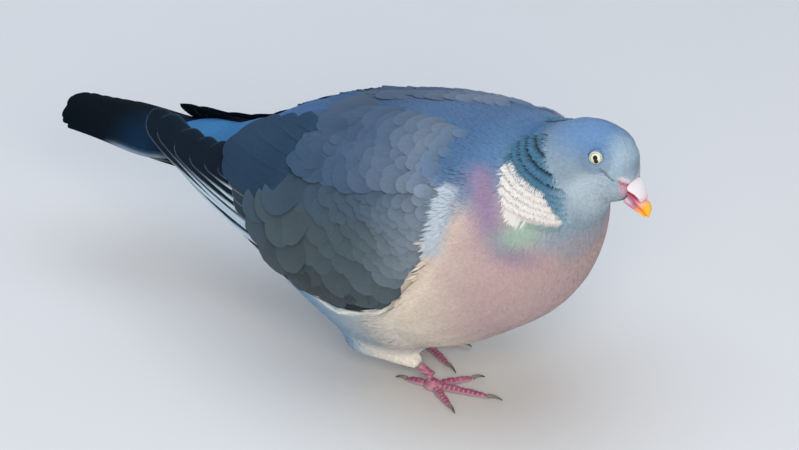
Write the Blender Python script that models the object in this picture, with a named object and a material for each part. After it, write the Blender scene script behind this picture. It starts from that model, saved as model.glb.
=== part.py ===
"""Common wood pigeon (Columba palumbus), standing with its head lowered: a still, life-size model.

+X is forward, +Y the bird's left and +Z up, and the floor is Z = 0. Every size below is in millimetres, with
X = 0 between the two feet. A mesh is scaled to metres when it is made, and shifted so that the origin lies
under the middle of the bird's length.

The head, neck, trunk and tail are one long loft, parted by thin cuts. Each wing is a shell laid over the
trunk, parted into the covered wing and the bare flight feathers behind it. Legs, toes, claws, eyes and bill
are solids of their own.
"""

import math

import bmesh
import bpy
from mathutils import Vector
from mathutils.bvhtree import BVHTree

MM = 0.001
CUT = 0.3            # thin cut between two pieces of one body
REST_GAP = 1.8       # wing shell off the trunk's facets
MIDDLE_X = -50       # middle of the bird's length, from tail tip to bill

# The body's rings run from the tail root to the bill. Each is a plane through the middle line:
# x and z of its back point, x and z of its belly point, half width, how square it is (2 is an ellipse).
BODY_RINGS = (
    ("tail root", -142, 97, -140, 82, 26, 2.0),
    ("rump", -124, 106, -117, 70, 35, 2.0),
    ("loin", -98, 125, -91, 53, 47, 2.0),
    ("hip", -70, 139, -60, 34, 57, 2.1),
    ("hind belly", -40, 150, -31, 17.5, 65, 2.1),
    ("belly", -8, 159, 0, 18.5, 68.5, 2.1),
    ("keel", 18, 163.5, 32, 31, 67.5, 2.1),
    ("shoulder", 38, 165.5, 59, 48, 63.5, 2.1),
    ("breast", 52, 166.5, 81, 65, 56.5, 2.1),
    ("neck root", 61, 167.5, 92.5, 84, 48, 2.0),
    ("low neck", 69, 169.5, 97.5, 104, 38.5, 2.0),
    ("neck", 78, 173.5, 101, 119, 29, 2.0),
    ("throat", 88, 179.5, 105, 128, 22, 2.0),
    ("hind crown", 99, 182, 108, 134.5, 17.8, 2.1),
    ("eye line", 109, 181.5, 111.3, 138.3, 15.8, 2.1),
    ("brow", 117, 177.5, 114.5, 140.3, 13.6, 2.1),
    ("forehead", 122.3, 171, 117, 141.6, 11.3, 2.1),
    ("lore", 125, 164, 118.6, 142.3, 9.0, 2.1),
    ("bill root", 126.2, 157, 119.5, 142.6, 6.8, 2.1),
)
RINGS_PER_STEP = 2   # rings lofted between two of the rings above
RING_SIDES = 30
NECK_CUT = 9.5       # ring numbers at which neck and head begin
HEAD_CUT = 12.4

# Tail: twelve feathers in a narrow fan with a rounded end, arched a little across.
TAIL_END = -234
TAIL_ROUNDING = 11      # how far the outer feathers stop short of the middle ones
TAIL_SKEW = 5           # the left outer feathers stop this much shorter, the right ones longer
TAIL_TAPER = 0.28       # share of its width lost over the last part
TAIL_HALF_WIDTH = 29.5
TAIL_TIP_Z = 89.5
TAIL_ARCH = 5
TAIL_THICKNESS = 1.6

# Folded wing, the right one: points along its upper and its lower edge, from the bend to the tip.
WING_UPPER_EDGE = (
    (50, -41, 134), (15, -38, 148), (-25, -36, 146), (-65, -33, 137), (-100, -28, 120), (-125, -24, 111),
    (-150, -20, 110), (-177, -17, 111),
)
WING_LOWER_EDGE = (
    (13, -61, 73), (-4, -64, 66), (-25, -62, 65), (-48, -57, 64), (-72, -50, 70), (-92, -46, 73),
    (-116, -43, 82), (-134, -39, 87), (-150, -34, 91), (-162, -28, 95), (-176, -21, 108),
)
WING_FRONT_SWELL = 5   # how far the front edge bows forward between its ends
WING_BULGE = 15        # how far the shell bows out between its two edges
WING_STAND = 5.0       # how far the middle of the wing stands off the trunk
WING_EDGE_STAND = 2.4
WING_TIP_DROP = {"right": 0, "left": 14}   # how much lower each wing's tip hangs than its edges say
BLADE_THICKNESS = 3.0  # bundle of folded primaries, at its root and at its tip
BLADE_TIP_THICKNESS = 1.2
WING_ROWS = 26
WING_COLUMNS = 9
BLADE_CUT = 0.62       # share of the wing's length at which the bare flight feathers begin

# Eyes
EYE_RADIUS = 5.6
EYE_POLE = (109.5, 15.2, 169.3)     # outermost point of the left eye
EYE_AXIS = (0.30, 0.95, 0.10)       # way the left eye looks

# Bill rings from the root to the tip, each a plane through the middle line: x and z of the ridge, x and z of
# the chin edge, half width, then the share of the ring's height at which the mouth and the cere's edge lie.
BILL_RINGS = (
    (126.6, 156.9, 119.9, 142.4, 6.5, 0.42, 0.58),
    (128.4, 155.0, 121.9, 141.3, 6.0, 0.40, 0.56),
    (129.9, 152.9, 124.0, 140.5, 5.4, 0.36, 0.56),
    (130.8, 150.2, 126.0, 139.5, 4.7, 0.31, 0.60),
    (131.3, 147.8, 127.7, 138.6, 3.9, 0.27, 0.74),
    (133.2, 145.6, 129.0, 137.9, 3.2, 0.24, 0),
    (134.0, 142.4, 130.2, 137.2, 2.6, 0.24, 0),
    (133.7, 139.3, 131.1, 136.6, 1.8, 0.30, 0),
    (132.9, 136.5, 132.0, 135.9, 0.8, 0.50, 0),
)
CERE_RINGS = 5         # the first rings of the bill carry the cere
LOWER_BILL_RINGS = 8

# Legs and feet: where each foot's pad stands, the way its middle toe points, and its ankle.
FEET = {
    "right": {
        "pad": (11, -16), "heading": 15,
        "thigh": ((-36, -27, 48), (-27, -24, 30), (-12, -20, 20.5), (0, -17.6, 14.5), (3.2, -17, 12)),
    },
    "left": {
        "pad": (-22, 20), "heading": -26,
        "thigh": ((-48, 27, 50), (-43, 25, 33), (-37, 22, 23), (-30, 20.6, 15.5), (-28, 20.4, 13)),
    },
}
THIGH_RADII = (14, 15, 9.5, 5.0, 3.4)   # feathered thigh and shank, from the flank to the bare tarsus
PAD_RADIUS = 4.4
PAD_HEIGHT = 5.2
TOE_RADIUS = 2.3
TOE_FLAT = 0.55             # how much of its radius a toe is pressed flat underneath
# Toe: angle from the heading, turned towards the bird's middle, length to the claw's root, claw length
TOES = {
    "middle": (0, 30, 8.5),
    "inner": (40, 22, 7.0),
    "outer": (-46, 21, 7.0),
    "hind": (172, 14, 7.0),
}


# ----------------------------------------------------------------------------------- making meshes

def new_material(name, colour, roughness):
    """Plain Principled material of one colour."""
    material = bpy.data.materials.new(name)
    material.use_nodes = True
    shader = material.node_tree.nodes["Principled BSDF"]
    shader.inputs["Base Color"].default_value = (*colour, 1.0)
    shader.inputs["Roughness"].default_value = roughness
    shader.inputs["Metallic"].default_value = 0.0
    material.diffuse_color = (*colour, 1.0)
    return material


def new_piece(name, points, faces, material):
    """One closed smooth-shaded object from points in millimetres."""
    origin = Vector((MIDDLE_X, 0, 0))
    mesh = bpy.data.meshes.new(name)
    mesh.from_pydata([(Vector(p) - origin) * MM for p in points], [], faces)
    form = bmesh.new()
    form.from_mesh(mesh)
    bmesh.ops.recalc_face_normals(form, faces=form.faces)
    form.to_mesh(mesh)
    form.free()
    mesh.shade_smooth()
    mesh.set_sharp_from_angle(angle=math.radians(50))
    mesh.materials.append(material)
    piece = bpy.data.objects.new(name, mesh)
    bpy.context.collection.objects.link(piece)
    return piece


def loft(rings):
    """Points and faces of a closed loft over rings of equal count, its two ends closed flat."""
    sides = len(rings[0])
    points = [p for ring in rings for p in ring]
    faces = [
        (row * sides + i, row * sides + (i + 1) % sides,
         (row + 1) * sides + (i + 1) % sides, (row + 1) * sides + i)
        for row in range(len(rings) - 1)
        for i in range(sides)
    ]
    faces.append(tuple(range(sides)))
    faces.append(tuple((len(rings) - 1) * sides + i for i in range(sides)))
    return points, faces


def slab(outer, inner):
    """Points and faces of a closed slab between two equal grids of points."""
    rows, columns = len(outer), len(outer[0])
    points = [p for row in outer for p in row] + [p for row in inner for p in row]
    back = rows * columns
    faces = []
    for i in range(rows - 1):
        for j in range(columns - 1):
            a, d = i * columns + j, (i + 1) * columns + j
            b, c = a + 1, d + 1
            faces.append((a, b, c, d))
            faces.append((back + d, back + c, back + b, back + a))
    edge = [(0, j) for j in range(columns)]
    edge += [(i, columns - 1) for i in range(1, rows)]
    edge += [(rows - 1, j) for j in range(columns - 2, -1, -1)]
    edge += [(i, 0) for i in range(rows - 2, 0, -1)]
    ids = [i * columns + j for i, j in edge]
    for a, b in zip(ids, ids[1:] + ids[:1]):
        faces.append((a, back + a, back + b, b))
    return points, faces


def smooth_between(values, at):
    """Value at a fractional index of a list of tuples, on a Catmull-Rom curve through them."""
    last = len(values) - 1
    at = min(max(at, 0.0), float(last))
    i = min(int(at), last - 1)
    t = at - i
    p = [values[min(max(i + k, 0), last)] for k in (-1, 0, 1, 2)]
    return tuple(
        0.5 * (2 * b + (c - a) * t + (2 * a - 5 * b + 4 * c - d) * t * t + (3 * b - a - 3 * c + d) * t ** 3)
        for a, b, c, d in zip(*p)
    )


def round_power(value, squareness):
    """One coordinate of a superellipse of radius 1, keeping its sign."""
    return math.copysign(abs(value) ** (2 / squareness), value)


def tube_rings(path, radii, sides, flat=0.0):
    """Rings of a round tube along a path; flat presses what is below the floor up to it."""
    rings = []
    for i, centre in enumerate(path):
        ahead = Vector(path[min(i + 1, len(path) - 1)]) - Vector(path[max(i - 1, 0)])
        side = ahead.cross(Vector((0, 0, 1))).normalized()
        up = side.cross(ahead).normalized()
        ring = []
        for k in range(sides):
            angle = 2 * math.pi * (k + 0.5) / sides
            point = Vector(centre) + radii[i] * (math.cos(angle) * side + math.sin(angle) * up)
            ring.append(Vector((point.x, point.y, max(point.z, flat))))
        rings.append(ring)
    return rings


# ---------------------------------------------------------------------------- head, neck and trunk

def body_ring(at, grow=0.0):
    """One ring of the body at a fractional ring number, grown outwards if asked."""
    top_x, top_z, low_x, low_z, half_width, squareness = smooth_between([r[1:] for r in BODY_RINGS], at)
    top, low = Vector((top_x, 0, top_z)), Vector((low_x, 0, low_z))
    centre, reach = (top + low) / 2, (top - low) / 2
    reach *= 1 + grow / reach.length
    ring = []
    for k in range(RING_SIDES):
        angle = 2 * math.pi * k / RING_SIDES
        across = (half_width + grow) * round_power(math.cos(angle), squareness)
        ring.append(centre + Vector((0, across, 0)) + reach * round_power(math.sin(angle), squareness))
    return ring


def body_piece(name, start, end, material):
    """The body from one ring number to another."""
    steps = max(2, round((end - start) * RINGS_PER_STEP))
    rings = [body_ring(start + (end - start) * i / steps) for i in range(steps + 1)]
    return new_piece(name, *loft(rings), material)


def cut_share(at):
    """Share of a ring step that makes the thin cut along the ring's tighter side."""
    here, there = body_ring(at), body_ring(at + 0.1)
    narrowest = min((Vector(b) - Vector(a)).length for a, b in zip(here, there))
    return CUT * 0.1 / narrowest


# ---------------------------------------------------------------------------------------- the tail

def tail_grids():
    """Upper and lower grids of the fan, from the cut behind the trunk to the rounded end."""
    root = BODY_RINGS[0]
    root_x, root_top, root_low, root_half = root[1] - CUT, root[2], root[4], root[5]
    rows, columns = 14, 11
    upper, lower = [], []
    for i in range(rows):
        t = i / (rows - 1)
        flatten = min(1.0, t / 0.45)                       # coverts thin out over the first part of the fan
        blend = flatten * flatten * (3 - 2 * flatten)
        top_row, low_row = [], []
        for j in range(columns):
            q = -1 + 2 * j / (columns - 1)
            end_x = TAIL_END + TAIL_ROUNDING * q * q + TAIL_SKEW * q ** 3
            x = root_x + (end_x - root_x) * t
            half = root_half * (1 - blend) + TAIL_HALF_WIDTH * blend
            half *= 1 - TAIL_TAPER * max(0.0, (t - 0.6) / 0.4) ** 2
            round_side = math.sqrt(max(0.0, 1 - q * q))
            root_middle = (root_top + root_low) / 2
            middle = root_middle + (TAIL_TIP_Z - TAIL_ARCH / 2 - root_middle) * blend
            body_half = (root_top - root_low) / 2 * round_side
            fan = TAIL_ARCH * (0.5 - q * q)
            half_depth = body_half * (1 - blend) + 0.5 * TAIL_THICKNESS * (1.5 - 0.7 * q * q)
            top_row.append(Vector((x, half * q, middle + fan * blend + half_depth)))
            low_row.append(Vector((x, half * q, middle + fan * blend - half_depth)))
        upper.append(top_row)
        lower.append(low_row)
    return upper, lower


# --------------------------------------------------------------------------------------- the wings

def rest_tree(*forms):
    """Search tree over closed forms, each given as points and faces, with every face turned outwards."""
    joined = bmesh.new()
    for points, faces in forms:
        corners = [joined.verts.new(p) for p in points]
        for face in faces:
            joined.faces.new([corners[i] for i in face])
    bmesh.ops.recalc_face_normals(joined, faces=joined.faces)
    tree = BVHTree.FromBMesh(joined)
    joined.free()
    return tree


def pushed_clear(tree, point, least):
    """The point, moved out along the nearest face's normal until it clears the trunk by the least gap."""
    near, normal, _, _ = tree.find_nearest(point)
    rise = (point - near).dot(normal)
    if rise >= least:
        return point
    return near + normal * least


def wing_grids(tree, start, end, rows, tip_drop):
    """Outer and inner grids of a wing between two shares of its length, as if it were the right one."""
    outer, inner = [], []
    for i in range(rows + 1):
        t = start + (end - start) * i / rows
        upper = Vector(smooth_between(WING_UPPER_EDGE, t * (len(WING_UPPER_EDGE) - 1)))
        lower = Vector(smooth_between(WING_LOWER_EDGE, t * (len(WING_LOWER_EDGE) - 1)))
        drop = Vector((0, -0.5 * tip_drop, -tip_drop)) * max(0.0, (t - BLADE_CUT) / (1 - BLADE_CUT)) ** 1.2
        spread = (upper - lower).length
        taper = min(1.0, spread / 60)
        thickness = BLADE_TIP_THICKNESS + (BLADE_THICKNESS - BLADE_TIP_THICKNESS) * taper
        nose = min(1.0, t / 0.12)
        outer_row, inner_row = [], []
        for j in range(WING_COLUMNS + 1):
            q = j / WING_COLUMNS
            bow = math.sin(math.pi * q)
            point = upper.lerp(lower, q) + drop
            point += Vector((WING_FRONT_SWELL * bow * (1 - nose), -WING_BULGE * bow * taper * taper, 0))
            stand = WING_EDGE_STAND + (WING_STAND - WING_EDGE_STAND) * math.sqrt(bow) * math.sqrt(nose)
            skin = pushed_clear(tree, point, stand)
            near, normal, _, _ = tree.find_nearest(skin)
            away = Vector((0, -0.75, 0.66)) if (skin - near).length > 12 else normal
            outer_row.append(skin)
            inner_row.append(pushed_clear(tree, skin - away * max(thickness, stand), REST_GAP))
        outer.append(outer_row)
        inner.append(inner_row)
    return outer, inner


def mirrored(grid):
    """The same grid on the other side of the bird."""
    return [[Vector((p.x, -p.y, p.z)) for p in row] for row in grid]


# ---------------------------------------------------------------------------------------- the head

def ball_rings(centre, axis, radius, rows, sides):
    """Rings of a ball whose poles lie on an axis; the poles are small flats."""
    axis = Vector(axis).normalized()
    side = axis.cross(Vector((0, 0, 1))).normalized()
    up = side.cross(axis)
    rings = []
    for i in range(rows + 1):
        latitude = math.pi * (0.02 + 0.96 * i / rows)
        ring_radius = radius * math.sin(latitude)
        middle = Vector(centre) + axis * radius * math.cos(latitude)
        rings.append([
            middle + ring_radius * (math.cos(a) * side + math.sin(a) * up)
            for a in (2 * math.pi * k / sides for k in range(sides))
        ])
    return rings


def bill_ring(ring, share_low, share_high, width_share=1.0, trim=0.0, sides=12):
    """Part of one ring of the bill between two shares of its height, trimmed at its low end."""
    ridge_x, ridge_z, chin_x, chin_z, half_width = ring[:5]
    ridge, chin = Vector((ridge_x, 0, ridge_z)), Vector((chin_x, 0, chin_z))
    up = (ridge - chin).normalized()
    low = chin.lerp(ridge, share_low) + up * trim
    high = chin.lerp(ridge, share_high)
    points = []
    for k in range(sides):
        angle = 2 * math.pi * k / sides
        across = Vector((0, half_width * width_share * math.cos(angle), 0))
        points.append((low + high) / 2 + (high - low) / 2 * math.sin(angle) + across)
    return points


# ----------------------------------------------------------------------------------- legs and feet

def toe_path(pad, angle, start, length, steps):
    """Middle line of a toe along the floor."""
    way = Vector((math.cos(angle), math.sin(angle), 0))
    return [Vector((*pad, 0)) + way * (start + length * i / steps) for i in range(steps + 1)]


def toe_piece(name, pad, angle, length, material):
    """A toe with three soft joints, pressed flat on the floor."""
    steps = 9
    path, radii = [], []
    for i, point in enumerate(toe_path(pad, angle, PAD_RADIUS + CUT, length - PAD_RADIUS - CUT, steps)):
        share = i / steps
        radius = TOE_RADIUS * (1.0 - 0.30 * share) * (1 + 0.08 * math.cos(share * 3 * 2 * math.pi))
        if i in (0, steps):
            radius *= 0.72
        radii.append(radius)
        path.append(Vector((point.x, point.y, radius * (1 - TOE_FLAT * 0.35))))
    return new_piece(name, *loft(tube_rings(path, radii, 8)), material)


def claw_piece(name, pad, angle, start, length, material):
    """A curved claw, highest at its root, its tip just above the floor."""
    steps = 4
    path, radii = [], []
    for i, point in enumerate(toe_path(pad, angle, start + 3 * CUT, length, steps)):
        share = i / steps
        path.append(Vector((point.x, point.y, 1.6 + 0.7 * math.sin(math.pi * share) - 1.0 * share * share)))
        radii.append(1.15 * (1 - share) + 0.28)
    return new_piece(name, *loft(tube_rings(path, radii, 7, flat=0.02)), material)


def leg_pieces(side, foot, trunk_cutter, skin, feathers, horn):
    """Pad, toes, claws, bare tarsus and feathered thigh of one leg."""
    towards_middle = 1 if side == "right" else -1
    pad = foot["pad"]
    base = Vector((*pad, 0))
    rings = []
    for height, share in ((0, 0.86), (1.4, 1.0), (3.6, 0.92), (PAD_HEIGHT, 0.62)):
        rings.append([
            base + Vector((math.cos(a), math.sin(a), 0)) * PAD_RADIUS * share + Vector((0, 0, height))
            for a in (2 * math.pi * k / 12 for k in range(12))
        ])
    new_piece(f"foot_{side}_pad", *loft(rings), skin)
    for toe, (turn, length, claw) in TOES.items():
        angle = math.radians(foot["heading"] + towards_middle * turn)
        toe_piece(f"toe_{side}_{toe}", pad, angle, length, skin)
        claw_piece(f"claw_{side}_{toe}", pad, angle, length, claw, horn)

    heel = base + Vector((0, 0, PAD_HEIGHT + CUT + 2.0))
    shank_end = Vector(foot["thigh"][-1])
    way = (shank_end - heel).normalized()
    length = (shank_end - heel).length - 2 * CUT
    bare = [heel + way * length * k / 3 for k in range(4)]
    new_piece(f"tarsus_{side}", *loft(tube_rings(bare, (2.5, 2.1, 2.2, 2.4), 10)), skin)

    last = len(foot["thigh"]) - 1
    steps = 4 * last
    spots = [last * k / steps for k in range(steps + 1)]
    path = [smooth_between(foot["thigh"], at) for at in spots]
    radii = [smooth_between([(r,) for r in THIGH_RADII], at)[0] for at in spots]
    thigh = new_piece(f"thigh_{side}", *loft(tube_rings(path, radii, 14)), feathers)
    cut_away(thigh, trunk_cutter)


def cut_away(piece, cutter):
    """Exact cut of a piece by a hidden cutter."""
    cutter.hide_render = True
    cutter.display_type = "WIRE"
    cut = piece.modifiers.new("cut", "BOOLEAN")
    cut.operation = "DIFFERENCE"
    cut.solver = "EXACT"
    cut.object = cutter


# -------------------------------------------------------------------------------------- the pigeon

def build():
    for old in list(bpy.data.objects):
        bpy.data.objects.remove(old, do_unlink=True)

    head_grey = new_material("head feathers", (0.20, 0.29, 0.41), 0.8)
    neck_grey = new_material("neck feathers", (0.34, 0.33, 0.40), 0.6)
    breast_pink = new_material("breast feathers", (0.43, 0.36, 0.34), 0.85)
    wing_grey = new_material("wing feathers", (0.10, 0.12, 0.15), 0.8)
    flight_black = new_material("flight feathers", (0.025, 0.03, 0.035), 0.6)
    thigh_white = new_material("thigh feathers", (0.46, 0.47, 0.47), 0.85)
    foot_pink = new_material("foot skin", (0.33, 0.10, 0.16), 0.55)
    claw_horn = new_material("claw horn", (0.14, 0.11, 0.09), 0.4)
    bill_horn = new_material("bill horn", (0.90, 0.45, 0.04), 0.35)
    bill_skin = new_material("bill skin", (0.45, 0.12, 0.18), 0.5)
    cere_skin = new_material("cere skin", (0.72, 0.68, 0.70), 0.6)
    eye_iris = new_material("eye", (0.62, 0.62, 0.48), 0.08)

    last = len(BODY_RINGS) - 1
    body_piece("trunk", 0, NECK_CUT, breast_pink)
    body_piece("neck", NECK_CUT + cut_share(NECK_CUT), HEAD_CUT, neck_grey)
    head = body_piece("head", HEAD_CUT + cut_share(HEAD_CUT), last, head_grey)

    tail = slab(*tail_grids())
    new_piece("tail", *tail, flight_black)

    # The wings rest on the whole body, so the tree that holds them off reaches past the thin cuts.
    whole = loft([body_ring(last * i / (2 * last)) for i in range(2 * last + 1)])
    tree = rest_tree(whole)
    blade_tree = rest_tree(whole, tail)
    cut_rows = round(WING_ROWS * BLADE_CUT)
    for side, tip_drop in WING_TIP_DROP.items():
        covered = wing_grids(tree, 0.0, BLADE_CUT, cut_rows, tip_drop)
        bare = wing_grids(blade_tree, BLADE_CUT + 0.006, 1.0, WING_ROWS - cut_rows, tip_drop)
        if side == "left":
            covered, bare = [mirrored(g) for g in covered], [mirrored(g) for g in bare]
        new_piece(f"wing_{side}", *slab(*covered), wing_grey)
        new_piece(f"flight_feathers_{side}", *slab(*bare), flight_black)

    for side, mirror in (("left", 1), ("right", -1)):
        pole = Vector((EYE_POLE[0], mirror * EYE_POLE[1], EYE_POLE[2]))
        axis = Vector((EYE_AXIS[0], mirror * EYE_AXIS[1], EYE_AXIS[2])).normalized()
        centre = pole - axis * EYE_RADIUS
        new_piece(f"eye_{side}", *loft(ball_rings(centre, axis, EYE_RADIUS, 8, 14)), eye_iris)
        bowl = ball_rings(centre, axis, EYE_RADIUS + CUT, 8, 14)
        socket = new_piece(f"socket_{side}", *loft(bowl), eye_iris)
        cut_away(head, socket)

    cere = [bill_ring(ring, ring[6], 1, 0.96, CUT) for ring in BILL_RINGS[:CERE_RINGS]]
    new_piece("cere", *loft(cere), cere_skin)
    upper = [bill_ring(ring, ring[5], ring[6]) for ring in BILL_RINGS[:CERE_RINGS]]
    upper += [bill_ring(ring, ring[5], 1) for ring in BILL_RINGS[CERE_RINGS:]]
    new_piece("bill_upper", *loft(upper), bill_horn)
    lower = [bill_ring(ring, 0, ring[5] - 0.05, 0.9) for ring in BILL_RINGS[:LOWER_BILL_RINGS]]
    new_piece("bill_lower", *loft(lower), bill_skin)

    steps = 2 * last
    grown = loft([body_ring(last * i / steps, grow=CUT) for i in range(steps + 1)])
    trunk_cutter = new_piece("trunk_cutter", *grown, breast_pink)
    for side, foot in FEET.items():
        leg_pieces(side, foot, trunk_cutter, foot_pink, thigh_white, claw_horn)


build()
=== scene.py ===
import math
import bmesh
import bpy
import numpy as np
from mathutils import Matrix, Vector
from mathutils.bvhtree import BVHTree


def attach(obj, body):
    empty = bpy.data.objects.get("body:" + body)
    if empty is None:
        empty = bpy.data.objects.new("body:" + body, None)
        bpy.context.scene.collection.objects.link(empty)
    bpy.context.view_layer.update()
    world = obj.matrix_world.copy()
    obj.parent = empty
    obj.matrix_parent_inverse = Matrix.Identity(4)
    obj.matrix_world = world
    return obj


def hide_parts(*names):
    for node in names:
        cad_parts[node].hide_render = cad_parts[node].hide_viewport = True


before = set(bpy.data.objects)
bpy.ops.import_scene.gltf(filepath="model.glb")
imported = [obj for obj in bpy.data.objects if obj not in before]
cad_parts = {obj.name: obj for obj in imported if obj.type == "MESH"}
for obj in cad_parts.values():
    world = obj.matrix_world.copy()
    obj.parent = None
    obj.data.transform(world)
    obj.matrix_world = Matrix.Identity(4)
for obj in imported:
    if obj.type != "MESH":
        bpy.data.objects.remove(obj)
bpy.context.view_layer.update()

# The studio: a pale painted floor, one wide overhead lamp with the blue of open shade, a softer key in front
# and a weak one behind. The camera looks down on the bird's right side, a little from in front.


def linear(hex_colour):
    """An sRGB hex colour as linear RGB."""
    parts = [int(hex_colour[i:i + 2], 16) / 255 for i in (1, 3, 5)]
    return np.array([p / 12.92 if p <= 0.04045 else ((p + 0.055) / 1.055) ** 2.4 for p in parts])


def rgba(hex_colour):
    return (*linear(hex_colour), 1.0)


def put(tree, kind, inputs=None, **settings):
    """Adds a node, a shader node where the kind names no other, with its settings and its inputs or links."""
    node = tree.nodes.new(kind if "Node" in kind else "ShaderNode" + kind)
    for key, value in settings.items():
        setattr(node, key, value)
    for key, value in (inputs or {}).items():
        by_name = (s for s in node.inputs if s.name == key and s.enabled)
        entry = node.inputs[key] if isinstance(key, int) else next(by_name)
        if isinstance(value, bpy.types.Node):
            value = next(s for s in value.outputs if s.enabled)
        if isinstance(value, bpy.types.NodeSocket):
            tree.links.new(value, entry)
        else:
            entry.default_value = value
    return node


def new_material(name):
    """An empty node material and its tree."""
    material = bpy.data.materials.new(name)
    material.use_nodes = True
    material.node_tree.nodes.clear()
    return material, material.node_tree


def finish_material(tree, inputs):
    """Closes a material tree with a Principled shader."""
    put(tree, "OutputMaterial", {"Surface": put(tree, "BsdfPrincipled", inputs)})


def new_object(name, points, faces):
    """A smooth mesh object, its points given in metres."""
    mesh = bpy.data.meshes.new(name)
    mesh.from_pydata([tuple(p) for p in points], [], faces)
    mesh.shade_smooth()
    made = bpy.data.objects.new(name, mesh)
    bpy.context.scene.collection.objects.link(made)
    return made


FLOOR_HALF = 3.0
floor_corners = [(x * FLOOR_HALF, y * FLOOR_HALF, 0) for x, y in ((-1, -1), (1, -1), (1, 1), (-1, 1))]
floor = new_object("studio_floor", floor_corners, [(0, 1, 2, 3)])
# Matt emulsion paint: even, with no gloss.
paint, tree = new_material("matt emulsion floor")
grain = put(tree, "TexNoise", {"Scale": 40.0})
shade = put(tree, "MapRange", {"Value": grain, 3: 0.66, 4: 0.69})
finish_material(tree, {"Base Color": shade, "Roughness": 0.9})
floor.data.materials.append(paint)

AIR_LIGHT = 0.45
world = bpy.data.worlds.new("studio air")
bpy.context.scene.world = world
world.use_nodes = True
world.node_tree.nodes["Background"].inputs["Color"].default_value = rgba("#dfe8f2")
world.node_tree.nodes["Background"].inputs["Strength"].default_value = AIR_LIGHT
bpy.context.scene.view_settings.view_transform = "Standard"

LAMPS = (  # name, place, aim, width, watts, colour
    ("overhead", (0.0, -0.1, 1.5), (0.0, 0.0, 0.1), 1.6, 13.5, "#dce9fa"),
    ("key", (1.0, -1.1, 0.9), (0.05, 0.0, 0.1), 0.9, 19.0, "#fff4e6"),
    ("back", (-0.9, 0.9, 0.9), (0.0, 0.0, 0.1), 0.9, 4.0, "#eaf1ff"),
)
for name, place, aim, width, watts, colour in LAMPS:
    lamp = bpy.data.lights.new(name, "AREA")
    lamp.shape = "DISK"
    lamp.size = width
    lamp.energy = watts
    lamp.color = linear(colour)
    held = bpy.data.objects.new(name, lamp)
    held.location = place
    held.rotation_euler = (Vector(place) - Vector(aim)).to_track_quat("Z", "Y").to_euler()
    bpy.context.scene.collection.objects.link(held)

CAMERA_AIM = Vector((0.0139, 0.0212, 0.0660))
CAMERA_YAW, CAMERA_PITCH = math.radians(35), math.radians(30)
CAMERA_DISTANCE = 3.0
CAMERA_SENSOR, CAMERA_LENS = 36, 255.03      # mm
towards_camera = Vector((math.cos(CAMERA_PITCH) * math.sin(CAMERA_YAW),
                         -math.cos(CAMERA_PITCH) * math.cos(CAMERA_YAW), math.sin(CAMERA_PITCH)))
camera_data = bpy.data.cameras.new("camera")
camera_data.sensor_width = CAMERA_SENSOR
camera_data.lens = CAMERA_LENS
camera_data.clip_end = 50
camera = bpy.data.objects.new("camera", camera_data)
camera.location = CAMERA_AIM + CAMERA_DISTANCE * towards_camera
camera.rotation_euler = towards_camera.to_track_quat("Z", "Y").to_euler()
bpy.context.scene.collection.objects.link(camera)
bpy.context.scene.camera = camera

# The markings of an adult common wood pigeon, as one function of the place on the bird, so that the skin and
# every feather over it agree. Places are in millimetres, and the two sides are alike but for the thighs.

NECK_PLANE = (113.0, 167.0, 55.0, 35.0)      # a point on the line from nape to throat base, and its normal
NECK_MIDDLE = 117.0                          # X at which the rows of neck feathers are told by their height
PATCH_TOP, PATCH_SLANT = 158.7, 0.66         # height of the white patch's top, and the slope of its back edge
# The line between flank and back, X and Z; the furrowed neck's front, Z and X; the wing's low edge, X and Z.
BACK_LINE = ((-95, 90), (-60, 92), (-20, 99), (40, 112), (88, 134), (108, 139), (122, 146))
FURROW_FRONT = ((128, 146.5), (137, 149), (150, 148), (160, 141), (171, 131))
LOW_EDGE = ((12, 66), (21, 63.6), (38, 56.6), (61, 68), (72, 76))


def ease(value, start, end):
    """0 before the start, 1 past the end, and a smooth run between them."""
    share = np.clip((value - start) / (end - start), 0, 1)
    return share * share * (3 - 2 * share)


def hump(value, middle, spread):
    """1 at the middle, falling to 0 on both sides."""
    return np.exp(-((value - middle) / spread) ** 2)


def between(points, at):
    """The value at a place on a line of (place, value) points."""
    return np.interp(at, *zip(*points))


def over(colour, *tints):
    """Linear colours with tints laid over them, each an sRGB hex colour and its share."""
    for hex_colour, share in tints:
        colour = colour + (linear(hex_colour) - colour) * np.clip(share, 0, 1)[:, None]
    return colour


def plain(hex_colour, at):
    """One linear colour for every place."""
    return np.tile(linear(hex_colour), (len(at), 1))


def ripple(at, size):
    """A soft waver between -1 and 1, with patches about size mm across."""
    a, b, c = (at * (2.1 / size)).T
    return (np.sin(a + 1.7 * np.sin(b + c)) + np.sin(1.3 * b + 1.9 * np.sin(c - a) + 2)
            + np.sin(1.7 * c + 1.5 * np.sin(a + b) + 4)) / 3


def past_neck(x, z):
    """Distance in front of the line where the neck joins the body, negative behind it."""
    px, pz, nx, nz = NECK_PLANE
    return ((x - px) * nx + (z - pz) * nz) / math.hypot(nx, nz)


def furrow_slope(f):
    return 0.42 - 0.36 * ease(f, 163, 176)


def furrow_height(x, z):
    """A height, the one at the neck's middle, that is the same all along one row of neck feathers."""
    f = z + 0.3 * (x - NECK_MIDDLE)
    for _ in range(6):
        f = 0.5 * f + 0.5 * (z + furrow_slope(f) * (x - NECK_MIDDLE))
    return f


def white_patch(x, z):
    """1 in the white neck patch, 0 outside it."""
    f = furrow_height(x, z)
    back = 115.5 + (PATCH_TOP - f) * PATCH_SLANT
    front = np.minimum(135.0 + (PATCH_TOP - f) * 0.74, 144.5)
    return (ease(x, back - 0.8, back + 0.8) * ease(x, front + 0.8, front - 0.8)
            * ease(f, 140.6, 141.6) * ease(f, 157.4, 156.6))


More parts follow.
